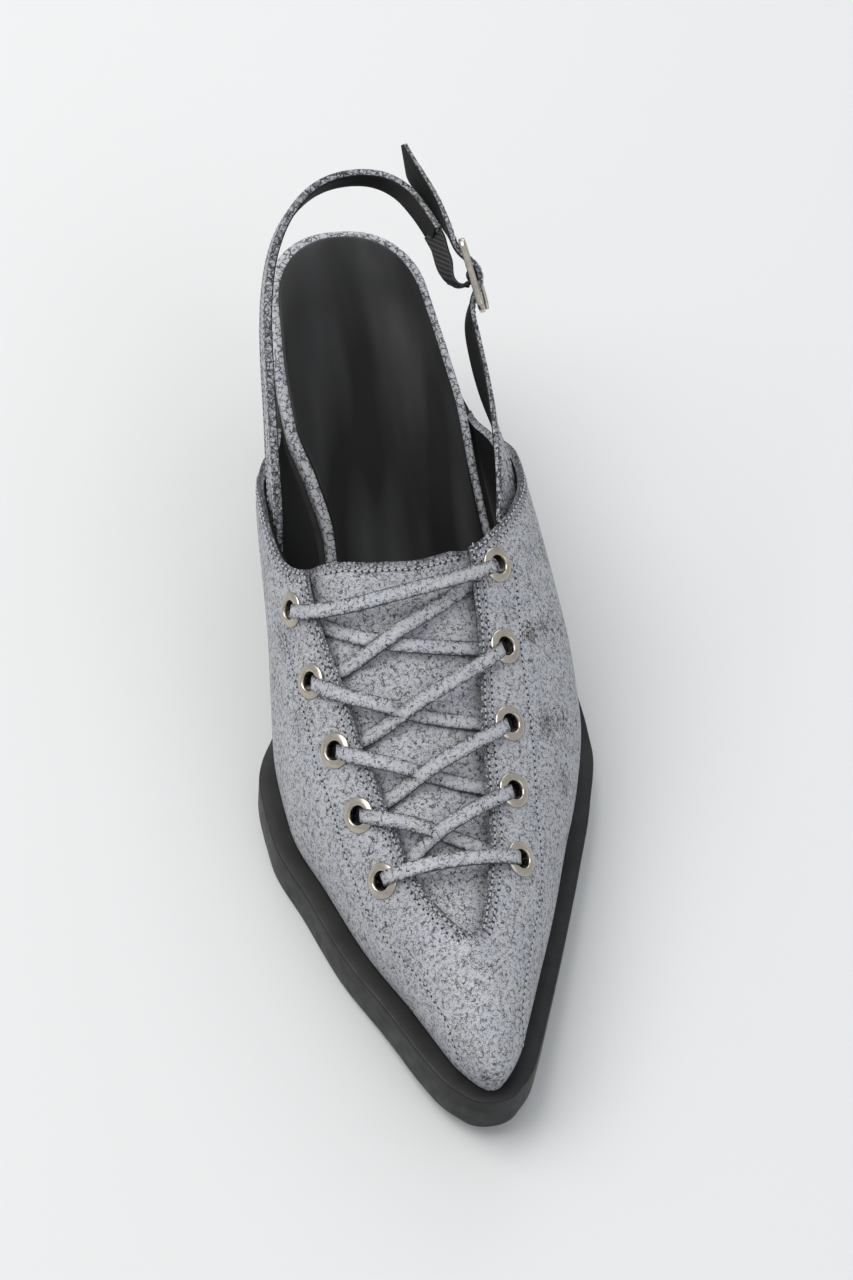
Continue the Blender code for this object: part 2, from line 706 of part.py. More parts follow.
start_scene()
slab("outsole", sole_edge, underside, sole_top, 0.0, SOLE_TIP, 1.0, "sole_black", 46)
heel()
slab("insole_board", board_edge, board_under, board_over, -1.2, BOARD_TIP, 0.6, "crackle_leather", 40)
slab("sock_lining", sock_edge, sock_under, sock_over, 2.3, SOCK_TIP, 0.3, "sock_leather", 36)
upper()
tongue()
eyelets()
laces()
strap("heel_strap", HEEL_STRAP, 40, STRAP_WIDTH, STRAP_THICK, "crackle_leather")
strap("strap_elastic", ELASTIC, 12, 7.0, 1.2, "elastic_black")
buckle_strap()
buckle()
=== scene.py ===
# Lace up heel, left shoe: pointed lace-up vamp with open waist and heel, and a buckled sling strap.
# Sizes are millimetres: x to the outer (lateral) side, station from the back of the heel towards
# the toe, z above the floor. Turned into the scene's metres, the toe points to -Y.
import math

import bpy
import numpy as np
from mathutils import Matrix, Vector


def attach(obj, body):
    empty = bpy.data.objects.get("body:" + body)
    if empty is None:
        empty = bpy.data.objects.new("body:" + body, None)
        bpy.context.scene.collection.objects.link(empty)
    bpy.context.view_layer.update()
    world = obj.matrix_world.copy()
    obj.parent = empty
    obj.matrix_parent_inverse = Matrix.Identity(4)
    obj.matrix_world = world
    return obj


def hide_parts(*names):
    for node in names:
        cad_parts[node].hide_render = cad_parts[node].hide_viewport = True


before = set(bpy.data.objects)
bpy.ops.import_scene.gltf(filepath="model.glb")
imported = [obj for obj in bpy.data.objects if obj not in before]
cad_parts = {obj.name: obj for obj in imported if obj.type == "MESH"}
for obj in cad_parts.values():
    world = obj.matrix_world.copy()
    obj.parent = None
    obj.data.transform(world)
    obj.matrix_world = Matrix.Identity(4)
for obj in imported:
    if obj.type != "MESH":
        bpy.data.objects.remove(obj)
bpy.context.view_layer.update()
bpy.ops.object.select_all(action="DESELECT")

# Camera
# It stands where the photograph was taken from, high over the toe, turned to the one shoe.
view_axis = Vector((0.1095, 0.6058, -0.7880)).normalized()
right_axis = Vector((0.9841, -0.1779, 0.0)).normalized()
up_axis = right_axis.cross(view_axis).normalized()
roll = math.radians(2.21)
picture_right = right_axis * math.cos(roll) + up_axis * math.sin(roll)
picture_up = up_axis * math.cos(roll) - right_axis * math.sin(roll)
aim = (view_axis * 2700 + picture_right * 154.5 - picture_up * 1.0).normalized()
camera_x = (picture_right - aim * picture_right.dot(aim)).normalized()
camera_y = camera_x.cross(aim).normalized()
if camera_y.dot(picture_up) < 0:
    camera_y = -camera_y
bpy.ops.object.camera_add(location=(-0.1280, -0.4560, 0.6829))
camera = bpy.context.active_object
camera.name = "camera"
camera.rotation_euler = Matrix((camera_x, camera_y, -aim)).transposed().to_euler()
camera.data.sensor_width = 36.0
camera.data.lens = 2700 * 1.10 / 1280 * 36.0
camera.data.clip_start = 0.01
bpy.context.scene.camera = camera

# Floor and studio light
# A pale seamless floor, an even pale room and one large soft lamp high on the left.
bpy.ops.mesh.primitive_plane_add(size=8.0, location=(0, 0, 0))
floor = bpy.context.active_object
floor.name = "floor"
bpy.context.scene.view_settings.view_transform = "Standard"
floor_paint = bpy.data.materials.new("floor_paint")
floor_paint.use_nodes = True
paint_shader = floor_paint.node_tree.nodes["Principled BSDF"]
paint_shader.inputs["Base Color"].default_value = (0.595, 0.60, 0.598, 1)
paint_shader.inputs["Roughness"].default_value = 0.75
floor.data.materials.append(floor_paint)

room = bpy.data.worlds.new("room")
room.use_nodes = True
room.node_tree.nodes["Background"].inputs["Color"].default_value = (0.93, 0.96, 1.0, 1)
room.node_tree.nodes["Background"].inputs["Strength"].default_value = 0.70
bpy.context.scene.world = room

for lamp_name, place, reach, watts, tint in (
    ("key_lamp", (-0.75, 0.25, 1.5), 1.3, 22.0, (1.0, 0.985, 0.96)),
    ("front_lamp", (0.7, -1.3, 1.2), 1.2, 5.5, (0.96, 0.98, 1.0)),
    ("back_lamp", (0.3, 1.4, 0.9), 1.0, 5.5, (1.0, 1.0, 1.0)),
):
    bpy.ops.object.light_add(type="AREA", location=place)
    lamp = bpy.context.active_object
    lamp.name = lamp_name
    lamp.data.size = reach
    lamp.data.energy = watts
    lamp.data.color = tint
    lamp.rotation_euler = Vector(place).to_track_quat("Z", "Y").to_euler()

# Outsole
# One piece of black sole leather, 13 mm thick under the ball and skived to 3 mm at the heel.
# Its flat top stands out round the vamp as a welt, and its cut wall is inked and rubbed satin.
BALL_STATION = 160.0
BOARD_PLAN = {
    "station": (0, 24, 45, 60, 75, 90, 105, 120, 135, 150, 170, 190, 210, 230, 245, 257.5),
    "medial": (-20.0, -21.2, -22.3, -21.6, -17.4, -14.6, -15.5, -21.4,
               -29.3, -33.6, -32.4, -26.0, -19.6, -10.6, -4.6, 0.6),
    "lateral": (24.4, 26.2, 29.0, 31.0, 31.8, 33.2, 36.3, 40.5,
                43.3, 43.5, 38.8, 31.6, 23.8, 15.6, 9.4, 4.4),
}
BOTTOM = {
    "station": (0, 28, 53, 78, 103, 118, 130, 142, 150, 188, 205, 228, 245, 261),
    "sole_top": (66.8, 62.2, 54.2, 42.7, 30.0, 22.6, 17.6, 14.2, 13.1, 13.0, 13.5, 15.0, 16.6, 18.6),
    "underside": (63.6, 58.8, 50.4, 38.0, 23.0, 12.8, 5.0, 0.6, 0.0, 0.0, 0.45, 1.9, 3.4, 5.3),
    "board": (4.5, 4.5, 4.5, 4.0, 3.0, 2.6, 2.5, 2.5, 2.5, 2.5, 2.5, 2.5, 2.5, 2.5),
}
WELT = {
    "station": (104, 124, 134, 144, 156, 240, 258),
    "medial": (0.0, 0.8, 2.4, 4.6, 5.7, 6.1, 5.2),
    "lateral": (0.0, 3.0, 5.8, 6.6, 6.6, 6.2, 5.2),
}
SOLE_TIP = 261.0
HEEL_ROUND = 24.0
NOSE = 11.0
BLUNTNESS = 2.3
LASTING = 2.6  # from the board's edge to the outside of the upper at the feather
GAP = 0.3  # between pieces that lie on each other
SAME_PLACE = 0.00002  # metres, within which points of a skin are one point


def smooth(table, column, at, key="station"):
    """A column of a table as a curve that never overshoots, read at one place or at many."""
    xs, ys = np.array(table[key], float), np.array(table[column], float)
    steps = np.diff(xs)
    slopes = np.diff(ys) / steps
    tangents = np.concatenate([[slopes[0]], np.zeros(len(xs) - 2), [slopes[-1]]])
    before, after = slopes[:-1], slopes[1:]
    same = before * after > 0
    first, second = 2 * steps[1:] + steps[:-1], steps[1:] + 2 * steps[:-1]
    with np.errstate(divide="ignore", invalid="ignore"):
        mean = (first + second) / (first / before + second / after)
    tangents[1:-1] = np.where(same, mean, 0.0)
    at = np.clip(np.asarray(at, float), xs[0], xs[-1])
    i = np.clip(np.searchsorted(xs, at, side="right") - 1, 0, len(xs) - 2)
    u = (at - xs[i]) / steps[i]
    return ((1 + 2 * u) * (1 - u) ** 2 * ys[i] + u * (1 - u) ** 2 * steps[i] * tangents[i]
            + u * u * (3 - 2 * u) * ys[i + 1] + u * u * (u - 1) * steps[i] * tangents[i + 1])


def ease(value, start, end):
    """0 before start, 1 after end, smooth between."""
    u = np.clip((np.asarray(value, float) - start) / (end - start), 0.0, 1.0)
    return u * u * (3 - 2 * u)


def rounding(station, start, tip):
    """Share of the width left where an end is rounded off."""
    u = np.clip((np.asarray(station, float) - start) / (tip - start), 0.0, 1.0)
    return (1 - u ** BLUNTNESS) ** (1 / BLUNTNESS)


def to_scene(points):
    """Shoe points (x, station, z) in millimetres to the scene's metres."""
    points = np.asarray(points, float)
    return np.stack([points[..., 0], BALL_STATION - points[..., 1], points[..., 2]], -1) * 0.001


def travelled(points):
    """How far along a line each of its points lies."""
    return np.concatenate([[0], np.cumsum(np.linalg.norm(np.diff(points, axis=0), axis=1))])


def read_line(line, travel, places):
    """The columns of a line read at places along its travel."""
    return np.stack([np.interp(places, travel, line[:, k]) for k in range(line.shape[1])], 1)


def unit(vectors):
    return vectors / np.linalg.norm(vectors, axis=1)[:, None]


def even_line(points, count, closed=False):
    """A line of points laid out again at even distances."""
    points = np.asarray(points, float)
    if closed:
        points = np.vstack([points, points[:1]])
    travel = travelled(points)
    line = read_line(points, travel, np.linspace(0, travel[-1], count + 1))
    return line[:-1] if closed else line


def plan_outline(edge, start, tip, count):
    """The outline seen from above of a piece with rounded ends, as evenly spaced (x, station)."""
    shares = (1 - np.cos(np.linspace(0, np.pi, 700))) / 2
    stations = start + (tip - start) * shares
    medial, lateral = edge("medial", stations), edge("lateral", stations)
    kept = rounding(stations, tip - NOSE, tip) * rounding(-stations, -HEEL_ROUND - start, -start)
    middle, half = (medial + lateral) / 2, (lateral - medial) / 2 * kept
    up_the_medial_side = np.stack([middle - half, stations], 1)
    down_the_lateral_side = np.stack([middle + half, stations], 1)[::-1][1:-1]
    return even_line(np.vstack([up_the_medial_side, down_the_lateral_side]), count, closed=True)


def drawn_in(outline, amount):
    """The outline moved inwards, square to itself."""
    along = unit(np.roll(outline, -1, axis=0) - np.roll(outline, 1, axis=0))
    inwards = np.stack([along[:, 1], -along[:, 0]], 1)
    return outline + inwards * amount


def pick(active, *others):
    """Selects only these objects, the first of them active."""
    bpy.ops.object.select_all(action="DESELECT")
    for piece in (active, *others):
        piece.select_set(True)
    bpy.context.view_layer.objects.active = active


def corners_of(piece):
    """The places of a mesh's points."""
    points = np.zeros(len(piece.data.vertices) * 3)
    piece.data.vertices.foreach_get("co", points)
    return points.reshape(-1, 3)


def laid_grid(name, columns, rows, place, paint=None):
    """Adds a grid and lays each of its points where place(u, v) says, with u and v from 0 to 1."""
    bpy.ops.object.select_all(action="DESELECT")
    bpy.ops.mesh.primitive_grid_add(x_subdivisions=columns, y_subdivisions=rows, size=1.0)
    piece = bpy.context.active_object
    piece.name = piece.data.name = name
    if paint:
        for face in piece.data.polygons:
            face.material_index = paint(face.center.x + 0.5, face.center.y + 0.5)
    shares = np.clip(corners_of(piece) + 0.5, 0, 1)
    placed = to_scene(place(shares[:, 0], shares[:, 1]))
    piece.data.vertices.foreach_set("co", placed.ravel())
    piece.data.update()
    return piece


def close_up(piece, crease):
    """Joins the points where a wrapped piece meets itself and turns its faces outwards."""
    pick(piece)
    bpy.ops.object.mode_set(mode="EDIT")
    bpy.ops.mesh.select_all(action="SELECT")
    bpy.ops.mesh.remove_doubles(threshold=SAME_PLACE)
    bpy.ops.mesh.dissolve_degenerate(threshold=0.000002)
    bpy.ops.mesh.normals_make_consistent(inside=False)
    bpy.ops.object.mode_set(mode="OBJECT")
    bpy.ops.object.shade_smooth_by_angle(angle=math.radians(crease))
    return piece


def stacked(name, rings, paint=None, crease=40):
    """Closed skin through rings of equally many points; paint gives a face's material."""
    skin = np.asarray(rings, float)
    skin = np.concatenate([skin, skin[:, :1]], axis=1)

    def place(u, v):
        return skin[np.rint(v * (len(skin) - 1)).astype(int), np.rint(u * (skin.shape[1] - 1)).astype(int)]

    return close_up(laid_grid(name, skin.shape[1] - 1, len(skin) - 1, place, paint), crease)


def moulded(name, outline, layers, spine):
    """Solid whose skin runs through layers of (inset, face of the shoe's bottom, rise above it),
    closed along its spine of (start, end, middle)."""
    start, end, middle = spine
    along = np.clip(outline[:, 1], start, end)
    rings = [np.column_stack([middle(along), along, layers[0][1](along) + layers[0][2]])]
    for inset, face, rise in layers:
        line = drawn_in(outline, inset)
        rings.append(np.column_stack([line, face(line[:, 1]) + rise]))
    rings.append(np.column_stack([middle(along), along, layers[-1][1](along) + layers[-1][2]]))
    return stacked(name, rings)


def finished(piece, slot, nodes, *materials):
    """Gives a finished piece its materials and its body, and hides the solids it stands for."""
    for place, material in enumerate(materials):
        if place < len(piece.data.materials):
            piece.data.materials[place] = material
        else:
            piece.data.materials.append(material)
    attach(piece, "root")
    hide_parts(*nodes)


def board_edge(side, station):
    return smooth(BOARD_PLAN, side, station)


def sole_edge(side, station):
    reach = LASTING * ease(station, 46, 60) + smooth(WELT, side, station)
    return board_edge(side, station) + (reach if side == "lateral" else -reach)


def sole_top(station):
    return smooth(BOTTOM, "sole_top", station)


def underside(station):
    return smooth(BOTTOM, "underside", station)


def middle_of(edge):
    return lambda station: (edge("medial", station) + edge("lateral", station)) / 2


def plain_material(name, colour, roughness, metallic=0.0):
    """A new material and its shader, to which the finish's own detail is added."""
    material = bpy.data.materials.new(name)
    material.use_nodes = True
    shader = material.node_tree.nodes["Principled BSDF"]
    shader.inputs["Base Color"].default_value = (*colour, 1)
    shader.inputs["Roughness"].default_value = roughness
    shader.inputs["Metallic"].default_value = metallic
    return material, shader


def add_node(tree, kind, inputs, **settings):
    """A new node, each of whose inputs is given a value or the socket that feeds it."""
    node = tree.nodes.new("ShaderNode" + kind)
    for name, value in settings.items():
        setattr(node, name, value)
    for name, value in inputs.items():
        if isinstance(value, bpy.types.NodeSocket):
            tree.links.new(value, node.inputs[name])
        else:
            node.inputs[name].default_value = value
    return node


def noise_of(shader, scale, detail, rough=0.55, stretch=(1, 1, 1)):
    """Noise on the piece's own Object coordinates; scale is in waves a metre."""
    place = add_node(shader.id_data, "TexCoord", {}).outputs["Object"]
    stretched = add_node(shader.id_data, "Mapping", {"Vector": place, "Scale": stretch}).outputs["Vector"]
    return add_node(shader.id_data, "TexNoise", {"Vector": stretched, "Scale": scale, "Detail": detail,
                                                 "Roughness": rough}).outputs["Fac"]


def waves_of(shader, direction, scale, distortion):
    """Bands across the piece's own Object coordinates."""
    place = add_node(shader.id_data, "TexCoord", {}).outputs["Object"]
    return add_node(shader.id_data, "TexWave", {"Vector": place, "Scale": scale, "Distortion": distortion},
                    bands_direction=direction).outputs["Fac"]


def ramp_of(value, low, high, first=0.0, second=1.0):
    """A step of a value between low and high, from a first colour or grey level to a second."""
    ramp = add_node(value.id_data, "ValToRGB", {"Fac": value})
    for element, place, colour in zip(ramp.color_ramp.elements, (low, high), (first, second)):
        element.position = place
        element.color = (*(colour if isinstance(colour, tuple) else (colour,) * 3), 1)
    return ramp.outputs["Color"]


def vary(shader, name, *step):
    """Lets a step of a value drive one of a shader's inputs."""
    shader.id_data.links.new(ramp_of(*step), shader.inputs[name])


def bump_of(shader, value, strength, distance, under=None):
    """A bump on a shader, on top of the bump under it."""
    inputs = {"Height": value, "Strength": strength, "Distance": distance}
    if under is not None:
        inputs["Normal"] = under
    bump = add_node(shader.id_data, "Bump", inputs).outputs["Normal"]
    shader.id_data.links.new(bump, shader.inputs["Normal"])
    return bump


sole_ink, shader = plain_material("sole_ink", (0.006, 0.006, 0.0065), 0.5)
shader.inputs["Specular IOR Level"].default_value = 0.35
vary(shader, "Base Color", noise_of(shader, 90, 5), 0.35, 0.75, (0.005, 0.005, 0.0055), (0.013, 0.013, 0.014))
vary(shader, "Roughness", noise_of(shader, 260, 6), 0.3, 0.75, 0.42, 0.62)
fibres = bump_of(shader, noise_of(shader, 900, 6, 0.6, (1, 1, 3)), 0.16, 0.0001)
bump_of(shader, noise_of(shader, 55, 3), 0.10, 0.0006, fibres)

outsole_outline = plan_outline(sole_edge, 0.0, SOLE_TIP, 420)
outsole_layers = (
    (4.0, underside, 0), (1.2, underside, 0), (0.5, underside, 0.15), (0.12, underside, 0.5),
    (0.0, underside, 1.1), (0.0, lambda t: (underside(t) + sole_top(t)) / 2, 0), (0.0, sole_top, -0.8),
    (0.1, sole_top, -0.4), (0.3, sole_top, -0.12), (0.7, sole_top, 0), (3.0, sole_top, 0), (8.0, sole_top, 0),
)
outsole = moulded("outsole_leather", outsole_outline, outsole_layers, (30, 235, middle_of(sole_edge)))
finished(outsole, "sole_black", ("outsole",), sole_ink)

# Heel
# A stacked block heel in black, flared a little to its seat under the sole, with a 6 mm rubber
# top piece nailed under it.
TOP_PIECE = 6.0
HEEL_COUNT = 120  # points round it
HEEL = {
    "share": (0, 0.08, 0.2, 0.4, 0.65, 1),
    "back": (1.2, 2.4, 4.6, 6.4, 7.2, 7.6),
    "breast": (49.0, 46.0, 42.5, 39.5, 38.0, 37.0),
    "medial": (-20.4, -18.6, -16.6, -14.6, -13.4, -12.6),
    "lateral": (26.0, 23.6, 21.2, 19.2, 18.0, 17.2),
}


def heel_outline(share, inset):
    """The heel seen from above at a share of its height, 0 at its seat and 1 at the top piece."""
    back, breast = smooth(HEEL, "back", share, "share"), smooth(HEEL, "breast", share, "share")
    medial, lateral = smooth(HEEL, "medial", share, "share"), smooth(HEEL, "lateral", share, "share")
    middle, half = (medial + lateral) / 2, (lateral - medial) / 2
    centre = back + half
    angle = 2 * np.pi * np.arange(HEEL_COUNT) / HEEL_COUNT
    across, along = np.cos(angle), np.sin(angle)
    square = np.sign(across) * np.abs(across) ** np.where(along < 0, 1.0, 0.3)
    reach = np.where(along < 0, (centre - back) * along, (breast - centre) * np.abs(along) ** 0.3)
    line = even_line(np.stack([middle + half * square, centre + reach], 1), HEEL_COUNT, closed=True)
    return drawn_in(line[::-1], inset) if inset else line[::-1]


def heel_layer(share, inset=0.0, drop=0.0):
    line = heel_outline(share, inset)
    height = (1 - share) * (underside(line[:, 1]) - GAP) + share * (TOP_PIECE + GAP) - drop
    return np.column_stack([line, height])


def gathered(ring):
    """A ring of points drawn together in its middle, to close a skin."""
    return np.repeat(ring.mean(axis=0)[None, :], len(ring), axis=0)


heel_shares = (0.02, 0.05, 0.09, 0.14, 0.2, 0.28, 0.37, 0.47, 0.58, 0.7, 0.82, 0.92)
heel_rings = [heel_layer(0.0, 0.5), heel_layer(0.0, 0.15), heel_layer(0.01)]
heel_rings += [heel_layer(share) for share in heel_shares]
heel_rings += [heel_layer(0.985), heel_layer(1.0, 0.15, -0.1), heel_layer(1.0, 0.5)]
heel_block = stacked("heel_stack", [gathered(heel_rings[0])] + heel_rings + [gathered(heel_rings[-1])])

heel_lacquer, shader = plain_material("heel_lacquer", (0.006, 0.006, 0.0065), 0.30)
shader.inputs["Specular IOR Level"].default_value = 0.35
vary(shader, "Roughness", noise_of(shader, 150, 5), 0.3, 0.75, 0.25, 0.42)
bump_of(shader, waves_of(shader, "Z", 46, 0.6), 0.05, 0.0002)
shader.inputs["Coat Weight"].default_value = 0.25
shader.inputs["Coat Roughness"].default_value = 0.25
finished(heel_block, "heel_black", ("heel_block",), heel_lacquer)


def tread_layer(inset, height):
    line = heel_outline(1.0, inset)
    return np.column_stack([line, np.full(len(line), height)])


tread_rings = [tread_layer(inset, height) for inset, height in
               ((3.0, 0.0), (0.9, 0.0), (0.3, 0.12), (0.0, 0.6), (0.0, 5.4), (0.2, 5.9), (0.8, 6.0))]
tread = stacked("heel_tread", [gathered(tread_rings[0])] + tread_rings + [gathered(tread_rings[-1])])
tread_rubber, shader = plain_material("tread_rubber", (0.016, 0.016, 0.016), 0.7)
vary(shader, "Roughness", noise_of(shader, 400, 6), 0.3, 0.8, 0.6, 0.85)
bump_of(shader, noise_of(shader, 1500, 4), 0.3, 0.0001)
finished(tread, "top_piece_rubber", ("heel_top_piece",), tread_rubber)

# Insole board
# A moulded board under the foot, wrapped in the crackled leather of the upper, whose rim shows
# round the sock lining from the heel to the waist.
BOARD_TIP = 254.0
PALE_HIDE = (0.405, 0.410, 0.436)
CRACK = (0.014, 0.014, 0.016)


def crackle_leather(name, cell, line, cover, speckle, marks=()):
    """Pale lilac-grey leather whose painted finish has cracked black. cell is the size of the flakes
    in mm, line the share of a flake that is crack, and cover how much of the network is open."""
    material, shader = plain_material(name, PALE_HIDE, 0.55)
    tree = material.node_tree
    place = add_node(tree, "TexCoord", {}).outputs["Object"]
    waver = add_node(tree, "TexNoise", {"Vector": place, "Scale": 900, "Detail": 3})
    centred = add_node(tree, "VectorMath", {0: waver.outputs["Color"], 1: (0.5, 0.5, 0.5)},
                       operation="SUBTRACT").outputs[0]

    def wavering(reach):
        return add_node(tree, "VectorMath", {0: centred, 1: (reach, reach, reach), 2: place},
                        operation="MULTIPLY_ADD").outputs[0]

    def of(operation, *values):
        return add_node(tree, "Math", dict(enumerate(values)), operation=operation).outputs[0]

    def falling(value, low, high, top=1.0):
        """The top value up to low, 0 from high on, smooth between."""
        ends = {"From Min": low, "From Max": high, "To Min": top, "To Max": 0.0}
        return add_node(tree, "MapRange", {"Value": value, **ends},
                        interpolation_type="SMOOTHSTEP").outputs["Result"]

    def lines(size, width, softness):
        flakes = add_node(tree, "TexVoronoi", {"Vector": cracked_place, "Scale": 1000 / size},
                          feature="DISTANCE_TO_EDGE")
        return falling(flakes.outputs["Distance"], width, width + softness)

    def patchy(scale, low, high):
        return ramp_of(noise_of(shader, scale, 5, 0.6), low, high)

    cracked_place, patch_place = wavering(0.0016), wavering(0.012)
    worn_and_edge_shade = add_node(tree, "Attribute", {}, attribute_name="edge_wear_and_shade").outputs["Fac"]
    open_share = of("ADD", patchy(760, 0.66 - cover * 0.3, 0.74 - cover * 0.3), of("MULTIPLY", worn_and_edge_shade, 0.9))
    wide = of("MULTIPLY", lines(cell, line, line * 0.8), of("MINIMUM", open_share, 1.0))
    fine = of("MULTIPLY", lines(cell * 0.5, line * 1.3, line * 1.2),
              of("MULTIPLY", patchy(950, 0.48, 0.60), 0.85))
    ticks = of("MULTIPLY", ramp_of(noise_of(shader, 3000, 3, 0.7), 0.55, 0.63), speckle)
    frayed = of("MULTIPLY", of("POWER", worn_and_edge_shade, 2.5), patchy(1100, 0.44, 0.54))
    cracks = of("MAXIMUM", of("MAXIMUM", wide, fine), of("MAXIMUM", ticks, frayed))
    # Darker near the marked edges: worn finish, and on the lace also painted shade along its edges.
    dirt_and_shade = of("ADD", of("MULTIPLY", patchy(75, 0.48, 0.80), 0.16), of("MULTIPLY", worn_and_edge_shade, 0.22))
    # Each mark darkens a soft patch round a given place, by its size and strength.
    for x, station, z, size, strength in marks:
        middle = tuple(to_scene((x, station, z)))
        away = add_node(tree, "VectorMath", {0: patch_place, 1: middle}, operation="DISTANCE")
        dirt_and_shade = of("ADD", dirt_and_shade, falling(away.outputs["Value"], size * 0.0003, size * 0.001, strength))
    dark = of("MINIMUM", of("ADD", of("MULTIPLY", cracks, 0.88), dirt_and_shade), 1.0)
    tint = ramp_of(noise_of(shader, 120, 4), 0.3, 0.7,
                   (PALE_HIDE[0] * 0.93, PALE_HIDE[1] * 0.93, PALE_HIDE[2] * 0.98),
                   (PALE_HIDE[0] * 1.06, PALE_HIDE[1] * 1.06, PALE_HIDE[2] * 1.02))
    mixed = add_node(tree, "Mix", {"Factor": dark, "A": tint, "B": (*CRACK, 1)}, data_type="RGBA")
    tree.links.new(mixed.outputs["Result"], shader.inputs["Base Color"])
    sheen = add_node(tree, "MapRange", {"Value": cracks, "To Min": 0.46, "To Max": 0.75})
    tree.links.new(sheen.outputs["Result"], shader.inputs["Roughness"])
    grain = bump_of(shader, noise_of(shader, 1800, 5, 0.6), 0.18, 0.0001)
    bump_of(shader, of("SUBTRACT", 1.0, cracks), 0.5, 0.00008, grain)
    return material


def board_under(station):
    return sole_top(station) + GAP


def board_over(station):
    return board_under(station) + smooth(BOTTOM, "board", station)


board_outline = plan_outline(board_edge, -1.2, BOARD_TIP, 400)
board_layers = (
    (5.0, board_under, 0), (0.5, board_under, 0), (0.1, board_under, 0.25), (0.0, board_under, 0.7),
    (0.0, board_over, -1.3), (0.12, board_over, -0.75), (0.42, board_over, -0.32), (0.9, board_over, -0.08),
    (1.5, board_over, 0), (5.0, board_over, 0),
)
insole = moulded("insole_wrapped", board_outline, board_layers, (26, 240, middle_of(board_edge)))
insole_hide = crackle_leather("insole_crackle", 2.0, 0.05, 0.9, 0.25)
finished(insole, "crackle_leather", ("insole_board",), insole_hide)

# Sock lining
# A thin black calf lining glued on the board 3 mm in from its edge, moulded a little hollow under
# the heel and the ball.
SOCK_TIP = 250.0
SOCK_INSET = 2.8


def sock_edge(side, station):
    return board_edge(side, station) - (SOCK_INSET if side == "lateral" else -SOCK_INSET)


def sock_over(station):
    return board_over(station) + 1.5


sock_outline = plan_outline(sock_edge, 2.3, SOCK_TIP, 400)
sock_layers = (
    (3.0, board_over, GAP), (0.1, board_over, GAP), (0.0, sock_over, -0.55), (0.12, sock_over, -0.2),
    (0.4, sock_over, -0.04), (0.9, sock_over, 0), (2.5, sock_over, 0), (4.5, sock_over, -0.12),
    (7.0, sock_over, -0.36), (10.0, sock_over, -0.62), (13.0, sock_over, -0.8),
)
sock = moulded("sock_lining_leather", sock_outline, sock_layers, (20, 236, middle_of(sock_edge)))
sock_calf, shader = plain_material("sock_calf", (0.006, 0.006, 0.0065), 0.40)
# Stretched bands where the calf is glossier; along them its base colour is also painted lighter, a painted
# sheen.
sheen_bands = noise_of(shader, 66, 2, 0.4, (1, 0.09, 0.4))
vary(shader, "Base Color", sheen_bands, 0.36, 0.64, (0.0045, 0.0045, 0.0048), (0.011, 0.011, 0.0115))
vary(shader, "Roughness", sheen_bands, 0.36, 0.64, 0.46, 0.30)
vary(shader, "Specular IOR Level", sheen_bands, 0.36, 0.64, 0.13, 0.48)
pores = bump_of(shader, noise_of(shader, 1400, 5, 0.65), 0.20, 0.0001)
bump_of(shader, noise_of(shader, 45, 3), 0.25, 0.0012, pores)
finished(sock, "sock_leather", ("sock_lining",), sock_calf)

# Upper
# The vamp is lasted crackled leather with a black lining, cut open for the laces and at the
# topline. Its raw edges are inked black, and its seams and edges are stitched with pale thread.
UPPER_TIP = 257.5
THROAT_END = 226.0
LAST = {
    "station": (45, 60, 75, 90, 105, 120, 135, 150, 170, 190, 210, 230, 245, 257.5),
    "medial": (-25.5, -27.0, -31.0, -34.5, -35.3, -35.6, -36.6, -37.6,
               -36.4, -30.0, -23.2, -14.2, -8.2, -2.8),
    "medial_z": (68, 66, 62, 58, 53, 44, 33, 26, 22, 21, 21.5, 22, 23, 23.5),
    "lateral": (32.0, 34.5, 37.8, 41.3, 44.2, 46.9, 48.6, 48.0,
                43.2, 35.6, 28.1, 19.6, 13.2, 8.0),
    "lateral_z": (68, 64, 57, 50, 43, 34, 26.5, 23, 21.5, 21, 21.5, 22, 23, 23.5),
    "ridge": (0, -2, -4, -5, -6, -6, -6, -5, -3, -1, 0, 1, 1.5, 1.8),
    "ridge_z": (134, 128, 120, 111, 101, 90.5, 81, 73, 63.5, 55.5, 49, 43, 37, 31),
}
TOPLINE = {
    "turn": (-2, -1.5, -1, -0.87, -0.78, -0.67, -0.53, -0.27, -0.05,
             0.05, 0.27, 0.43, 0.53, 0.65, 0.75, 0.85, 1, 1.5, 2),
    "station": (57, 66, 80, 95, 108, 118.5, 125, 131.5, 133.8,
                133.8, 129, 120, 113, 104, 95, 84, 74, 64, 57),
}
THROAT = {
    "station": (100, 129.5, 145, 160, 179, 199, 212, 220, 224, 226),
    "medial": (-0.52, -0.47, -0.40, -0.34, -0.32, -0.31, -0.27, -0.17, -0.09, 0.015),
    "lateral": (0.29, 0.28, 0.27, 0.25, 0.23, 0.23, 0.19, 0.13, 0.09, 0.015),
}
# Seams of the medial and the lateral side
SEAMS = (
    {"station": (129, 138, 150, 162, 175, 183, 191, 200, 208, 218, 227, 236, 242, 248, 250),
     "turn": (-0.72, -0.68, -0.62, -0.60, -0.60, -0.63, -0.68, -0.73,
              -0.77, -0.77, -0.72, -0.68, -0.68, -0.80, -0.95)},
    {"station": (125, 139, 153, 164, 173, 190, 200, 212, 224, 236, 244, 249),
     "turn": (0.46, 0.45, 0.43, 0.45, 0.47, 0.52, 0.58, 0.63, 0.62, 0.60, 0.65, 0.93)},
)
EYELETS = {
    "station": (131, 151.5, 171, 188, 205.5),
    "medial": (-0.62, -0.52, -0.465, -0.485, -0.52),
    "lateral": (0.38, 0.36, 0.355, 0.37, 0.42),
}
WALL = 2.0
SPLIT = 0.015  # turn along which both halves of the vamp meet in front of the opening
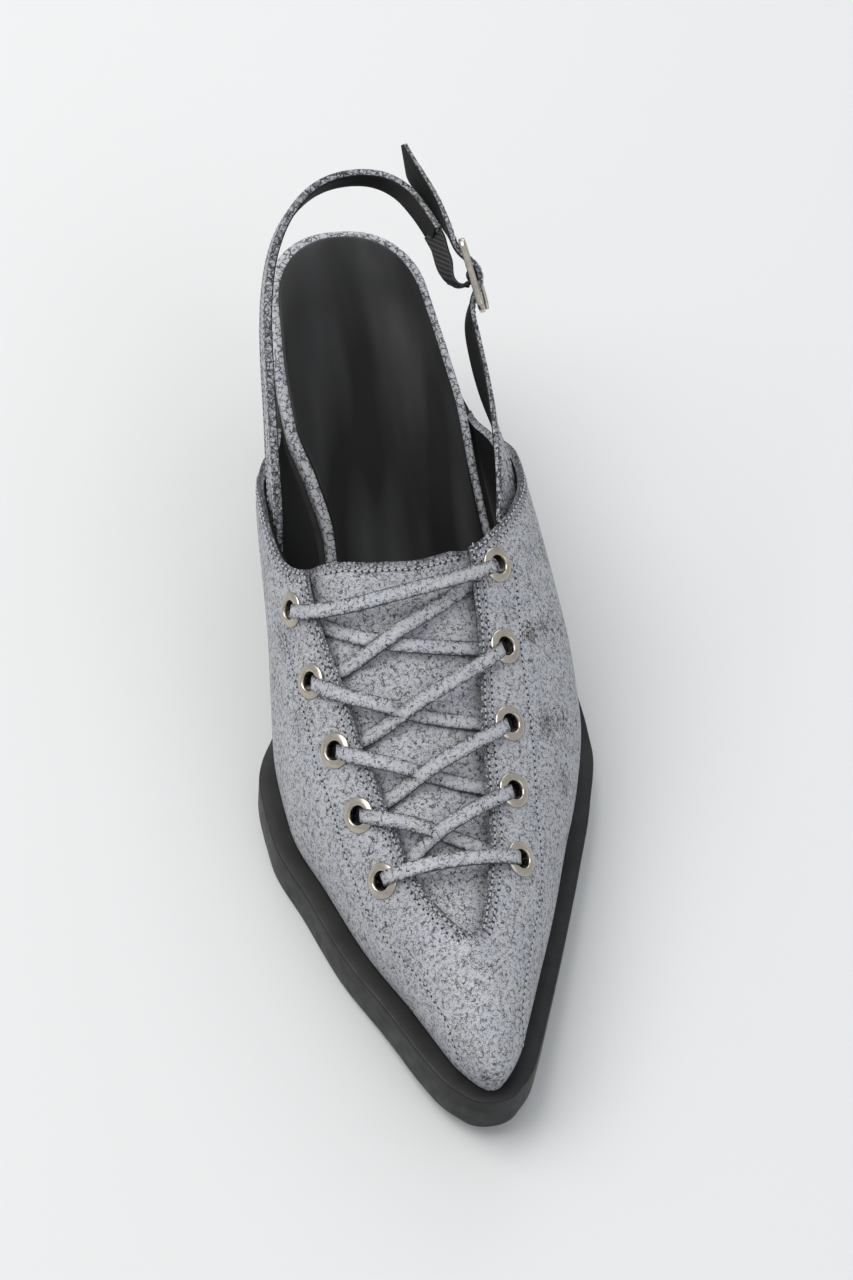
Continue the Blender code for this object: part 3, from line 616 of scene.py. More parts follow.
# Soft creases: turn and station of both ends, half width in mm and height in mm
CREASES = (
    (0.45, 143, 0.72, 138, 2.6, -0.35),
    (0.52, 146, 0.80, 141, 2.4, 0.28),
    (0.62, 152, 0.95, 166, 2.6, 0.25),
    (0.60, 160, 0.95, 178, 2.2, -0.30),
    (0.66, 172, 1.02, 186, 2.0, -0.22),
    (0.45, 166, 0.66, 164, 2.4, -0.25),
    (-0.66, 142, -0.95, 150, 2.8, -0.30),
    (-0.70, 152, -0.98, 162, 2.4, 0.22),
    (-0.66, 168, -0.95, 174, 2.6, -0.20),
    (0.12, 232, 0.50, 236, 3.0, -0.18),
    (-0.12, 236, -0.50, 240, 3.0, -0.16),
)


def feather(side, station):
    return board_edge(side, station) + (LASTING if side == "lateral" else -LASTING)


def form(turn, station, lift=0.0):
    """Points on the outside of the upper: a turn is -2 at the medial feather, 0 on the ridge and 2
    at the lateral feather, a station is along the shoe, and lift is square off the leather."""
    turn, station, lift = np.broadcast_arrays(np.asarray(turn, float), np.asarray(station, float), lift)
    if np.any(lift):
        here = form(turn, station)
        around = form(turn + 0.004, station) - form(turn - 0.004, station)
        along = form(turn, station + 0.4) - form(turn, station - 0.4)
        normal = np.cross(around, along)
        length = np.linalg.norm(normal, axis=-1, keepdims=True)
        return here + normal / np.maximum(length, 1e-9) * lift[..., None]
    medial = turn < 0

    def side(suffix):
        return np.where(medial, smooth(LAST, "medial" + suffix, station),
                        smooth(LAST, "lateral" + suffix, station))

    nose = rounding(station, UPPER_TIP - NOSE, UPPER_TIP)
    middle = (feather("medial", station) + feather("lateral", station)) / 2
    wide, wide_z = middle + (side("") - middle) * nose, side("_z")
    top = middle + (smooth(LAST, "ridge", station) - middle) * nose
    top_z = wide_z + (smooth(LAST, "ridge_z", station) - wide_z) * nose
    reach = np.abs(turn)
    angle = (1 - np.minimum(reach, 1)) * np.pi / 2
    power = np.where(medial, 2 / 2.08, 2 / 1.94)
    x = top + (wide - top) * np.maximum(np.cos(angle), 0) ** power
    z = wide_z + (top_z - wide_z) * np.sin(angle) ** power
    foot = np.where(medial, feather("medial", station), feather("lateral", station))
    sweep = math.radians(75)
    under = np.maximum(reach - 1, 0) * sweep
    low = middle + (foot - middle) * nose
    x = np.where(reach > 1, wide + (low - wide) * (1 - np.cos(under)) / (1 - math.cos(sweep)), x)
    fall = (wide_z - sole_top(station) - GAP) * np.sin(under) / math.sin(sweep)
    z = np.where(reach > 1, wide_z - fall, z)
    return np.stack([x, station, z], -1)


def creasing(turn, station):
    """Height of the soft creases at a place on the upper."""
    here = form(turn, station)
    height = np.zeros(np.shape(turn))
    for turn_a, station_a, turn_b, station_b, width, depth in CREASES:
        middle = form(np.linspace(turn_a, turn_b, 9), np.linspace(station_a, station_b, 9))
        near = np.full(np.shape(turn), 1e9)
        for k, point in enumerate(middle):
            fade = 1 - abs(k - 4) / 5.5
            near_here = np.linalg.norm(here - point, axis=-1) / width
            near = np.minimum(near, near_here + (1 - fade) * 1.2)
        height += depth * np.exp(-near ** 2)
    return height


def lasted(turn, station):
    """How far the creases lift the leather, which is drawn smooth over the tip of the toe."""
    return creasing(turn, station) * ease(-station, -250, -236)


def vamp_half(side):
    """One side of the vamp, from the feather to the edge of the lace opening and on to the toe."""
    foot = -2.0 if side == "medial" else 2.0
    shares = np.concatenate([np.linspace(0, 0.975, 66), [0.984, 0.991, 0.9955, 1.0]])
    before = np.concatenate([[0, 0.0035, 0.008, 0.014], np.linspace(0.024, 0.985, 78), [0.993, 1.0]])
    after = np.sin(np.linspace(0, math.pi / 2, 34)[1:])

    def opening(station):
        return np.where(station < THROAT_END, smooth(THROAT, side, station), SPLIT)

    start = np.full(len(shares), 120.0)
    for _ in range(40):
        turn = foot + shares * (opening(start) - foot)
        start = smooth(TOPLINE, "station", turn, "turn")
    rows = [start + (THROAT_END - start) * share for share in before]
    rows += [np.full(len(shares), THROAT_END + (UPPER_TIP - THROAT_END) * share) for share in after]
    station = np.array(rows)
    turn = foot + shares[None, :] * (opening(station) - foot)
    lift = lasted(turn, station)
    flap = station < THROAT_END - 0.01
    for row, drop in enumerate((0.42, 0.12, 0.02)):
        lift[:, -1 - row] -= np.where(flap[:, -1 - row], drop, 0)
    for row, drop in enumerate((0.42, 0.12, 0.02)):
        lift[row] -= drop
    skin = form(turn, station, lift)
    if side == "lateral":
        skin = skin[:, ::-1]

    def place(u, v):
        i = np.rint(u * (len(station) - 1)).astype(int)
        j = np.rint(v * (len(shares) - 1)).astype(int)
        return skin[i, j]

    return laid_grid("vamp_" + side, len(station) - 1, len(shares) - 1, place)


vamp = vamp_half("medial")
other_half = vamp_half("lateral")
pick(vamp, other_half)
bpy.ops.object.join()
bpy.ops.object.mode_set(mode="EDIT")
bpy.ops.mesh.select_all(action="SELECT")
bpy.ops.mesh.remove_doubles(threshold=SAME_PLACE)
bpy.ops.object.mode_set(mode="OBJECT")
vamp.name = vamp.data.name = "vamp"


def wall_of(piece, thickness):
    """Thickens a leather skin inwards: material 0 outside, 1 the lining and 2 the cut edge."""
    while len(piece.data.materials) < 3:
        piece.data.materials.append(None)
    solid = piece.modifiers.new("wall", "SOLIDIFY")
    solid.thickness = thickness * 0.001
    solid.offset = -1
    solid.use_even_offset = False
    solid.material_offset = 1
    solid.material_offset_rim = 2
    pick(piece)
    bpy.ops.object.modifier_apply(modifier="wall")
    bpy.ops.object.shade_smooth_by_angle(angle=math.radians(40))


wall_of(vamp, WALL)


def seat_of(turn, station):
    """Placing matrix of something that lies on the upper, its own Z square off the leather."""
    here, above = to_scene(form(turn, station)), to_scene(form(turn, station, 1.0))
    out = Vector(above - here).normalized()
    return Matrix.Translation(Vector(here)) @ out.to_track_quat("Z", "Y").to_matrix().to_4x4()


eyelet_seats = {f"eyelet_{side}_{row + 1}": seat_of(EYELETS[side][row], EYELETS["station"][row])
                for side in ("medial", "lateral") for row in range(5)}
punches = []
for seat in eyelet_seats.values():
    bpy.ops.mesh.primitive_cylinder_add(vertices=32, radius=0.0032, depth=0.008)
    punch = bpy.context.active_object
    punch.data.transform(seat)
    punches.append(punch)
pick(*punches)
bpy.ops.object.join()
punch = bpy.context.active_object
holes = vamp.modifiers.new("holes", "BOOLEAN")
holes.object = punch
holes.operation = "DIFFERENCE"
holes.solver = "EXACT"
pick(vamp)
bpy.ops.object.modifier_apply(modifier="holes")
bpy.data.objects.remove(punch, do_unlink=True)


def along_edge(name):
    """Turns and stations along an edge of the upper."""
    if name == "topline":
        turn = np.linspace(-2, smooth(THROAT, "medial", 128.0), 400)
        medial = np.stack([turn, smooth(TOPLINE, "station", turn, "turn")], 1)
        turn = np.linspace(smooth(THROAT, "lateral", 128.5), 2, 400)
        return medial, np.stack([turn, smooth(TOPLINE, "station", turn, "turn")], 1)
    station = np.linspace(127, THROAT_END, 400)
    return (np.stack([smooth(THROAT, "medial", station), station], 1),
            np.stack([smooth(THROAT, "lateral", station), station], 1))


turned_edge = np.vstack([form(line[:, 0], line[:, 1]) for line in along_edge("topline")])
cut_edge = np.vstack([form(line[:, 0], line[:, 1]) for line in along_edge("throat")])
for face in vamp.data.polygons:
    if face.material_index == 2:
        to_turned, to_cut = (np.linalg.norm(to_scene(line) - np.array(face.center), axis=1).min()
                             for line in (turned_edge, cut_edge))
        if to_turned < min(to_cut, 0.0025):
            face.material_index = 0


def mark_edges(piece, lines, reach=4.0):
    """Writes how near each point of a piece lies to its cut edges, from 1 at the edge to 0."""
    edges = to_scene(lines)
    points = corners_of(piece)
    near = np.full(len(points), 1e9)
    for chunk in np.array_split(edges, max(len(edges) // 40, 1)):
        near = np.minimum(near, np.linalg.norm(points[:, None] - chunk[None], axis=2).min(axis=1))
    wear_and_shade = np.clip(1 - near / (reach * 0.001), 0, 1)
    layer = piece.data.attributes.new("edge_wear_and_shade", "FLOAT", "POINT")
    layer.data.foreach_set("value", wear_and_shade)


mark_edges(vamp, np.vstack([turned_edge, cut_edge]))
# Darker patches on the vamp, each given as x, station, z, size and strength.
vamp_marks = (
    (31, 145, 60, 4.5, 0.55), (36, 141, 57, 4.0, 0.50), (40, 137, 53, 3.5, 0.40),
    (32, 167, 49, 5.0, 0.45), (36, 163, 44, 6.0, 0.30), (36, 178, 36, 6.0, 0.28),
    (36, 187, 23, 5.0, 0.30), (1, 256, 25, 3.5, 0.40), (-34, 134, 55, 6.0, 0.22),
    (-30, 158, 50, 6.0, 0.16), (42, 117, 60, 6.0, 0.18), (25, 143, 66, 4.0, 0.22),
)
vamp_hide = crackle_leather("vamp_crackle", 1.15, 0.075, 0.5, 0.8, vamp_marks)
black_lining, shader = plain_material("black_lining", (0.005, 0.005, 0.0052), 0.6)
shader.inputs["Specular IOR Level"].default_value = 0.25
bump_of(shader, noise_of(shader, 1500, 4), 0.2, 0.0001)
edge_ink, shader = plain_material("edge_ink", (0.020, 0.020, 0.022), 0.5)
vary(shader, "Base Color", noise_of(shader, 1300, 4), 0.45, 0.75, (0.014, 0.014, 0.015), (0.20, 0.20, 0.23))
finished(vamp, "crackle_leather", ("upper",), vamp_hide, black_lining, edge_ink)

# Stitching
# Two rows of pale thread hold the turned edges and one row closes each seam. The needle has left
# black holes where the finish broke.
STITCH = 1.8  # from one stitch to the next
ROWS_IN = (1.1, 3.2)  # from an edge to its two rows
HOLE_ALONG = 0.90  # from the middle of a thread to its needle hole
THREAD_SIDES, HOLE_SIDES = 6, 8
# Sections of one thread: place along it and radius
THREAD = ((-0.60, 0.05), (-0.52, 0.16), (-0.30, 0.23), (0.30, 0.23), (0.52, 0.16), (0.60, 0.05))


def stitching(name, places, ways, outs):
    """A piece made of one thread and one needle hole at each place; its row runs along ways."""
    ways = unit(ways)
    outs = unit(outs - ways * np.sum(ways * outs, axis=1)[:, None])
    sides = np.cross(outs, ways)
    round_thread = 2 * np.pi * np.arange(THREAD_SIDES) / THREAD_SIDES
    thread = [(a, r * math.cos(t), 0.11 + r * 0.8 * math.sin(t)) for a, r in THREAD for t in round_thread]
    faces = [(THREAD_SIDES * k + i, THREAD_SIDES * k + (i + 1) % THREAD_SIDES,
              THREAD_SIDES * (k + 1) + (i + 1) % THREAD_SIDES, THREAD_SIDES * (k + 1) + i)
             for k in range(len(THREAD) - 1) for i in range(THREAD_SIDES)]
    faces += [tuple(range(THREAD_SIDES - 1, -1, -1)), tuple(range(len(thread) - THREAD_SIDES, len(thread)))]
    marks = [0] * len(faces) + [1] * HOLE_SIDES
    rim = [(HOLE_ALONG + 0.42 * math.cos(t), 0.36 * math.sin(t), 0.05)
           for t in 2 * np.pi * np.arange(HOLE_SIDES) / HOLE_SIDES]
    shape = np.array(thread + rim + [(HOLE_ALONG, 0.0, 0.12)])
    first, peak = len(thread), len(shape) - 1
    faces += [(first + i, first + (i + 1) % HOLE_SIDES, peak) for i in range(HOLE_SIDES)]
    points = (places[:, None] + shape[None, :, :1] * ways[:, None] + shape[None, :, 1:2] * sides[:, None]
              + shape[None, :, 2:3] * outs[:, None])
    mesh = bpy.data.meshes.new(name)
    all_faces = [tuple(i + len(shape) * n for i in face) for n in range(len(places)) for face in faces]
    mesh.from_pydata(to_scene(points.reshape(-1, 3)).tolist(), [], all_faces)
    mesh.polygons.foreach_set("material_index", marks * len(places))
    mesh.shade_smooth()
    piece = bpy.data.objects.new(name, mesh)
    bpy.context.scene.collection.objects.link(piece)
    pick(piece)
    bpy.ops.object.mode_set(mode="EDIT")
    bpy.ops.mesh.select_all(action="SELECT")
    bpy.ops.mesh.normals_make_consistent(inside=False)
    bpy.ops.object.mode_set(mode="OBJECT")
    for material in (thread_yarn, needle_hole):
        piece.data.materials.append(material)
    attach(piece, "root")


thread_yarn, shader = plain_material("thread_yarn", (0.36, 0.37, 0.41), 0.6)
bump_of(shader, noise_of(shader, 3500, 3), 0.4, 0.0001)
needle_hole, shader = plain_material("needle_hole", (0.008, 0.008, 0.009), 0.8)
vary(shader, "Base Color", noise_of(shader, 2500, 3), 0.4, 0.7, (0.006, 0.006, 0.007), (0.03, 0.03, 0.034))


def beside(turn, station, distance, toward):
    """A line on the upper moved sideways over the leather by a distance in mm, towards the rising or
    the falling side of turn or station."""
    points, above = form(turn, station), form(turn, station, 1.0)
    sideways = unit(np.cross(above - points, np.gradient(points, axis=0)))
    by_turn = (form(turn + 0.002, station) - form(turn - 0.002, station)) / 0.004
    by_station = (form(turn, station + 0.2) - form(turn, station - 0.2)) / 0.4
    a, b, c = (np.sum(p * q, axis=1) for p, q in
               ((by_turn, by_turn), (by_turn, by_station), (by_station, by_station)))
    d, e = np.sum(by_turn * sideways, axis=1), np.sum(by_station * sideways, axis=1)
    turned, moved = (c * d - b * e) / (a * c - b * b), (a * e - b * d) / (a * c - b * b)
    way = np.sign(np.median(turned if toward[0] == "turn" else moved)) * toward[1]
    return turn + way * turned * distance, station + way * moved * distance


def sewn_row(turn, station, start=0.0, end=0.0):
    """Places, ways and outward directions of evenly spaced stitches along a line on the upper."""
    travel = travelled(form(turn, station))
    at = np.arange(start, travel[-1] - end, STITCH)
    turn, station = np.interp(at, travel, turn), np.interp(at, travel, station)
    places = form(turn, station, lasted(turn, station) + 1e-6)
    return places, np.gradient(places, axis=0), form(turn, station, 1.0) - form(turn, station)


vamp_rows = []
for line, toward in zip(along_edge("throat"), (("turn", -1), ("turn", 1))):
    for distance in ROWS_IN:
        row = beside(line[:, 0], line[:, 1], distance, toward)
        vamp_rows.append(sewn_row(*row, start=1.5, end=2.0))
for line in along_edge("topline"):
    seen = np.abs(line[:, 0]) < 1.35
    for distance in ROWS_IN:
        row = beside(line[seen, 0], line[seen, 1], distance, ("station", 1))
        vamp_rows.append(sewn_row(*row, end=1.0))
for seam in SEAMS:
    station = np.linspace(seam["station"][0], seam["station"][-1], 300)
    vamp_rows.append(sewn_row(smooth(seam, "turn", station), station, start=4.0))
stitching("vamp_stitches", *(np.vstack(part) for part in zip(*vamp_rows)))

# Tongue
# A plain tongue of the same leather, lined in black, that lies under both edges of the lace opening
# and shows its stitched top just above the topline.
TONGUE_START, TONGUE_END = 128.0, 236.0
TONGUE_MARGIN = 0.10  # turns that lie under each edge of the opening
TONGUE_LIFT = -3.9
TONGUE_WALL = 1.4


def tongue_place(u, v):
    station = TONGUE_START + (TONGUE_END - TONGUE_START) * u
    left = smooth(THROAT, "medial", np.minimum(station, 219)) - TONGUE_MARGIN
    right = smooth(THROAT, "lateral", np.minimum(station, 219)) + TONGUE_MARGIN
    turn = left + (right - left) * v
    rise = np.interp(v, (0.0, 0.06, 0.12, 0.25, 0.5, 0.84, 0.90, 1.0),
                     (1.3, 0.9, -0.1, -0.9, -0.3, 0.5, 1.6, 3.5))
    start = smooth(TOPLINE, "station", turn, "turn") + rise - 1.1
    station = start + (TONGUE_END - start) * u
    swell = 0.35 * np.sin(np.pi * v) * np.sin(station / 9.0 + turn * 5) * ease(station, 138, 150)
    return form(turn, station, TONGUE_LIFT + swell)


tongue = laid_grid("tongue_leather", 110, 56, tongue_place)
wall_of(tongue, TONGUE_WALL)
top_of_tongue = tongue_place(np.zeros(120), np.linspace(0, 1, 120))
mark_edges(tongue, top_of_tongue, 3.0)
tongue_row = tongue_place(np.full(140, 2.0 / 103), np.linspace(0.13, 0.88, 140))
tongue_turn = np.linspace(-0.45, 0.25, 140)
tongue_out = form(tongue_turn, 132.0, 1.0) - form(tongue_turn, 132.0)
travel = travelled(tongue_row)
at = np.arange(0.5, travel[-1], STITCH)
row_places, row_outs = read_line(tongue_row, travel, at), read_line(tongue_out, travel, at)
stitching("tongue_stitches", row_places, np.gradient(row_places, axis=0), row_outs)
tongue_hide = crackle_leather("tongue_crackle", 1.2, 0.07, 0.55, 0.8)
finished(tongue, "crackle_leather", ("tongue",), tongue_hide, black_lining, edge_ink)

# Eyelets
# Ten brushed nickel eyelets with a domed flange, a rolled lip and a barrel set through the leather.
# Their profile gives radius and height above the leather, once round the section.
eyelet_profile = ((4.75, 0.08), (4.8, 0.22), (4.7, 0.42), (4.4, 0.60), (3.9, 0.78), (3.4, 0.92),
                  (3.0, 0.95), (2.72, 0.84), (2.55, 0.58), (2.45, 0.20), (2.45, -1.9), (2.6, -2.0),
                  (2.9, -2.0), (3.0, -1.9), (3.0, 0.08), (3.9, 0.08), (4.75, 0.08))
nickel, shader = plain_material("brushed_nickel", (0.47, 0.43, 0.37), 0.28, 1.0)
vary(shader, "Roughness", noise_of(shader, 700, 5), 0.3, 0.75, 0.20, 0.34)
vary(shader, "Base Color", noise_of(shader, 260, 4), 0.3, 0.8, (0.50, 0.455, 0.39), (0.36, 0.325, 0.275))
bump_of(shader, noise_of(shader, 1600, 3), 0.08, 0.00005)
ring_angles = 2 * np.pi * np.arange(48) / 48
radii, heights = np.array(eyelet_profile).T
local = np.stack([np.outer(radii, np.cos(ring_angles)), np.outer(radii, np.sin(ring_angles)),
                  np.repeat(heights[:, None], 48, axis=1)], -1) * 0.001
for eyelet_name, seat in eyelet_seats.items():
    turned = local @ np.array(seat.to_3x3()).T + np.array(seat.translation)
    rings = np.stack([turned[..., 0] * 1000, BALL_STATION - turned[..., 1] * 1000, turned[..., 2] * 1000], -1)
    eyelet = stacked(eyelet_name + "_ring", rings, crease=50)
    finished(eyelet, "nickel", (eyelet_name,), nickel)

# Lace
# One flat lace of the crackled leather. It crosses the opening four times and is held by a straight
# bar at the top and the bottom, so it shows no ends.
LACE_WIDTH = 4.0
LACE_THICK = 1.1
OVER = 0.95 + GAP + LACE_THICK / 2  # middle of a lace that lies on an eyelet, 0.95 mm high
UNDER = -WALL - 0.4 - LACE_THICK / 2  # middle of a lace that lies under the leather
BOW_TOP, BOW_BOTTOM = 10.5, 2.0  # how far the top and bottom runs bow towards the toe


def opening_share(turn, station):
    left, right = smooth(THROAT, "medial", station), smooth(THROAT, "lateral", station)
    return (turn - left) / (right - left)


def bar_lift(share, first):
    return np.full(np.shape(share), OVER)


def lower_lift(share, first):
    if first:
        return UNDER + 0.8 * ease(share, 0.1, 0.35) * ease(-share, -0.9, -0.65)
    return OVER + (UNDER - OVER) * ease(share, 0.02, 0.80) - 0.25 * np.exp(-((share - 0.5) / 0.22) ** 2)


def upper_lift(share, first):
    if first:
        return UNDER + 2.3 * ease(share, 0.1, 0.42) * ease(-share, -0.9, -0.58)
    return UNDER + (OVER - UNDER) * ease(share, 0.10, 0.86) + 0.55 * np.exp(-((share - 0.48) / 0.25) ** 2)


def lace_run(start, end, lift, first=False):
    """Points of a lace between two eyelets, from just beside one to just beside the other."""
    middle = (start[1] + end[1]) / 2
    bow = BOW_TOP + (BOW_BOTTOM - BOW_TOP) * (middle - 131) / 75
    u = np.linspace(0.045, 0.955, 64)
    turn = start[0] + (end[0] - start[0]) * u
    station = start[1] + (end[1] - start[1]) * u + bow * 4 * u * (1 - u)
    high = lift(opening_share(turn, station), first)
    points = form(turn, station, high)
    return points, form(turn, station, high + 1.0) - points


def eyelet_place(side, row):
    return (EYELETS[side][row], EYELETS["station"][row])


def lace_between(side, row, to_side, to_row):
    """A run of the lace from one eyelet to another, in the direction in which it is threaded."""
    if row == to_row:
        points, normals = lace_run(eyelet_place("medial", row), eyelet_place("lateral", row), bar_lift)
        turned = side != "medial"
    else:
        upper, lower = sorted(((side, row), (to_side, to_row)), key=lambda end: end[1])
        lift = lower_lift if upper[0] == "medial" else upper_lift
        points, normals = lace_run(eyelet_place(*upper), eyelet_place(*lower), lift, upper[1] == 0)
        turned = (side, row) != upper
    return (points[::-1], normals[::-1]) if turned else (points, normals)


# The eyelets in the order in which the lace is threaded, until it meets itself again
threading = (("medial", 0), ("lateral", 0), ("medial", 1), ("lateral", 2), ("medial", 3), ("lateral", 4),
             ("medial", 4), ("lateral", 3), ("medial", 2), ("lateral", 1), ("medial", 0))
lace_points, lace_normals, lace_squeeze = [], [], []
for (side, row), (to_side, to_row) in zip(threading[:-1], threading[1:]):
    points, normals = lace_between(side, row, to_side, to_row)
    lace_points.append(points)
    lace_normals.append(normals)
    lace_squeeze.append(np.ones(len(points)))
    centre = form(*eyelet_place(to_side, to_row))
    through = form(*eyelet_place(to_side, to_row), 1.0) - centre
    from_above = np.dot(points[-1] - centre, through) > 0
    drops = np.array([0.6, -0.5, -1.6]) if from_above else np.array([-1.6, -0.5, 0.6])
    lace_points.append(centre + drops[:, None] * through)
    lace_normals.append(np.full((3, 3), np.nan))
    lace_squeeze.append(np.array([0.72, 0.68, 0.72]))
lace_points, lace_normals = np.vstack(lace_points), np.vstack(lace_normals)
lace_squeeze = np.concatenate(lace_squeeze)
lace_way = np.roll(lace_points, -1, axis=0) - np.roll(lace_points, 1, axis=0)
lace_across = unit(np.cross(lace_way, lace_normals))
known = np.where(~np.isnan(lace_across[:, 0]))[0]
for before, after in zip(known[:-1], known[1:]):
    if np.dot(lace_across[before], lace_across[after]) < 0:
        lace_across[after:] *= -1
for axis in range(3):
    lace_across[:, axis] = np.interp(np.arange(len(lace_across)), known, lace_across[known, axis])


def softened(values, times):
    for _ in range(times):
        values = (np.roll(values, 1, axis=0) + 2 * values + np.roll(values, -1, axis=0)) / 4
    return values


lace_points, lace_across = softened(lace_points, 4), softened(lace_across, 8)
lace_squeeze = softened(lace_squeeze, 10)


def strip_sections(points, across, widths, thickness, corner, closed=False):
    """Rounded oblong sections along a strip; across gives its width direction."""
    if closed:
        along = np.roll(points, -1, axis=0) - np.roll(points, 1, axis=0)
    else:
        along = np.gradient(points, axis=0)
    along = unit(along)
    side = unit(across - along * np.sum(across * along, axis=1)[:, None])
    out = np.cross(along, side)
    half, deep = np.asarray(widths, float) / 2, np.broadcast_to(thickness, len(points)) / 2
    ring = []
    for turn in range(4):
        for step in range(3):
            angle = math.radians(90 * turn + 45 * step)
            sign_a, sign_b = (1, -1, -1, 1)[turn], (1, 1, -1, -1)[turn]
            a = sign_a * (half - corner) + corner * math.cos(angle)
            b = sign_b * (deep - corner) + corner * math.sin(angle)
            ring.append(points + side * a[:, None] + out * b[:, None])
        if turn in (0, 2):
            for share in (0.25, 0.5, 0.75):
                a = (half - corner) * (1 - 2 * share) * (1 if turn == 0 else -1)
                ring.append(points + side * a[:, None] + out * (deep if turn == 0 else -deep)[:, None])
    return np.stack(ring, 1)


def section_corners(rings):
    """The four long edges of a strip."""
    return np.vstack([rings[:, corner] for corner in (1, 7, 10, 16)])


def lace_sides(u, v):
    """Hide on the two faces of the lace and black ink on its two cut sides."""
    return 1 if 7.5 < u * 18 < 10.0 or u * 18 > 16.5 or u * 18 < 1.0 else 0


lace_rings = strip_sections(lace_points, lace_across, LACE_WIDTH * lace_squeeze, LACE_THICK,
                            closed=True, corner=0.2)
lace = stacked("lace_strip", np.concatenate([lace_rings, lace_rings[:1]]), lace_sides, crease=50)
# Its edges come out darker: worn finish, and painted shade along the lace's edges.
mark_edges(lace, section_corners(lace_rings), 1.3)
lace_hide = crackle_leather("lace_crackle", 1.6, 0.05, 0.45, 0.45)
finished(lace, "crackle_leather", ("lace_bar_top", "lace_cross_1", "lace_cross_2", "lace_cross_3",
                                   "lace_cross_4", "lace_bar_bottom"), lace_hide, edge_ink)

# Sling strap
# An 8 mm strap of crackled leather on black lining, sewn inside the medial edge of the vamp. It
# runs round the heel and ends in a short ribbed elastic that is looped over the buckle's bar.
HEEL_STRAP = {
    "station": (105, 102, 98, 93, 88, 81, 70, 55, 40, 28, 17, 9.5, 9.0, 14.5, 22, 34),
    "x": (-30.9, -30.8, -30.5, -30.4, -30.4, -29.8, -29.0, -27.5,
          -24.6, -20.3, -13.0, -3.0, 7.0, 15.6, 19.7, 23.6),
    "z": (54.7, 59.5, 66, 72.5, 77.6, 82.6, 87.8, 92.5,
          96.7, 99.5, 101.2, 101.8, 102.4, 102.9, 102.4, 100.8),
    "lean": (5, 5, 6, 6, 7, 7, 8, 9, 12, 18, 24, 26, 24, 12, 1, -2),
}
ELASTIC = {
    "station": (32.0, 36.0, 40.5, 45.4, 48.2),
    "x": (22.6, 23.9, 24.4, 25.4, 26.4),
    "z": (101.2, 100.2, 98.4, 97.0, 96.2),
}
STRAP_WIDTH = 8.0
SLING_THICK = 2.2
SLING_COUNT = 260  # sections
ROW_INSET = 1.3  # from a strap's edge to its stitches
BUCKLE_CENTRE = np.array((32.1, 45.5, 96.0))
BUCKLE_ALONG = np.array((0.19, 0.78, -0.60))
BUCKLE_OUT = np.array((0.94, -0.07, 0.33))
buckle_along = BUCKLE_ALONG / np.linalg.norm(BUCKLE_ALONG)
buckle_out = BUCKLE_OUT - buckle_along * BUCKLE_OUT.dot(buckle_along)
buckle_out /= np.linalg.norm(buckle_out)
buckle_across = np.cross(buckle_along, buckle_out)
if buckle_across[2] < 0:
    buckle_across = -buckle_across


def in_buckle(local):
    """Points given along, across and out of the buckle to the shoe's own."""
    local = np.asarray(local, float)
    return (BUCKLE_CENTRE + local[..., :1] * buckle_along + local[..., 1:2] * buckle_across
            + local[..., 2:3] * buckle_out)


def place_of(table):
    return np.stack([table["x"], table["station"], table["z"]], 1).astype(float)


def read_along(table, count):
    """The columns of a strap's table, read evenly along its path."""
    travel = travelled(place_of(table))
    path = {"travel": travel, **table}
    places = np.linspace(0, travel[-1], count)
    return {name: smooth(path, name, places, "travel") for name in table}


def eased_line(values, times):
    """An open line with its bends softened and its two ends kept."""
    for _ in range(times):
        middle = (values[:-2] + 2 * values[1:-1] + values[2:]) / 4
        values = np.concatenate([values[:1], middle, values[-1:]])
    return values


def leaning(points, lean):
    """Width directions of a strap whose top leans to the right of its way by its lean in degrees."""
    way = unit(np.gradient(points[:, :2], axis=0))
    angle = np.radians(np.asarray(lean, float))
    return np.stack([-way[:, 1] * np.sin(angle), way[:, 0] * np.sin(angle), np.cos(angle)], 1)


def capped(rings):
    """Sections of a strip with both ends drawn together."""
    return np.concatenate([gathered(rings[0])[None], rings, gathered(rings[-1])[None]])


def strap_faces(outside_up):
    """Which of a strap's faces are turned leather and which are lining, round its section."""
    lined = (9.5, 17.0) if outside_up else (0.5, 8.0)

    def paint(u, v):
        return 1 if lined[0] < u * 18 < lined[1] else 0
    return paint


def outside_is_up(points, across):
    """True where a strap's out direction (way x top) points away from the middle of the shoe."""
    along = np.gradient(points, axis=0)
    out = np.cross(along, across)
    middle = len(points) // 3
    return np.dot(out[middle], points[middle] - np.array([1.0, 55.0, points[middle, 2]])) > 0


def strap_piece(name, points, across, widths, thickness, corner=0.35):
    """A strap of turned leather over a lining, its edges marked for their broken finish."""
    rings = strip_sections(points, across, widths, thickness, corner=corner)
    piece = stacked(name, capped(rings), strap_faces(outside_is_up(points, across)), crease=50)
    mark_edges(piece, section_corners(rings), 1.5)
    return piece


def strap_rows(points, across, widths, thickness, start=1.0, end=1.0):
    """Stitches along both edges of a strap's outer face."""
    along = unit(np.gradient(points, axis=0))
    side = unit(across - along * np.sum(across * along, axis=1)[:, None])
    out = np.cross(along, side) * (1 if outside_is_up(points, across) else -1)
    travel = travelled(points)
    at = np.arange(start, travel[-1] - end, STITCH)
    rows = []
    for edge in (-1, 1):
        line = points + side * edge * (widths / 2 - ROW_INSET)[:, None] + out * thickness / 2
        rows.append([read_line(column, travel, at) for column in (line, along, out)])
    return [np.vstack(part) for part in zip(*rows)]


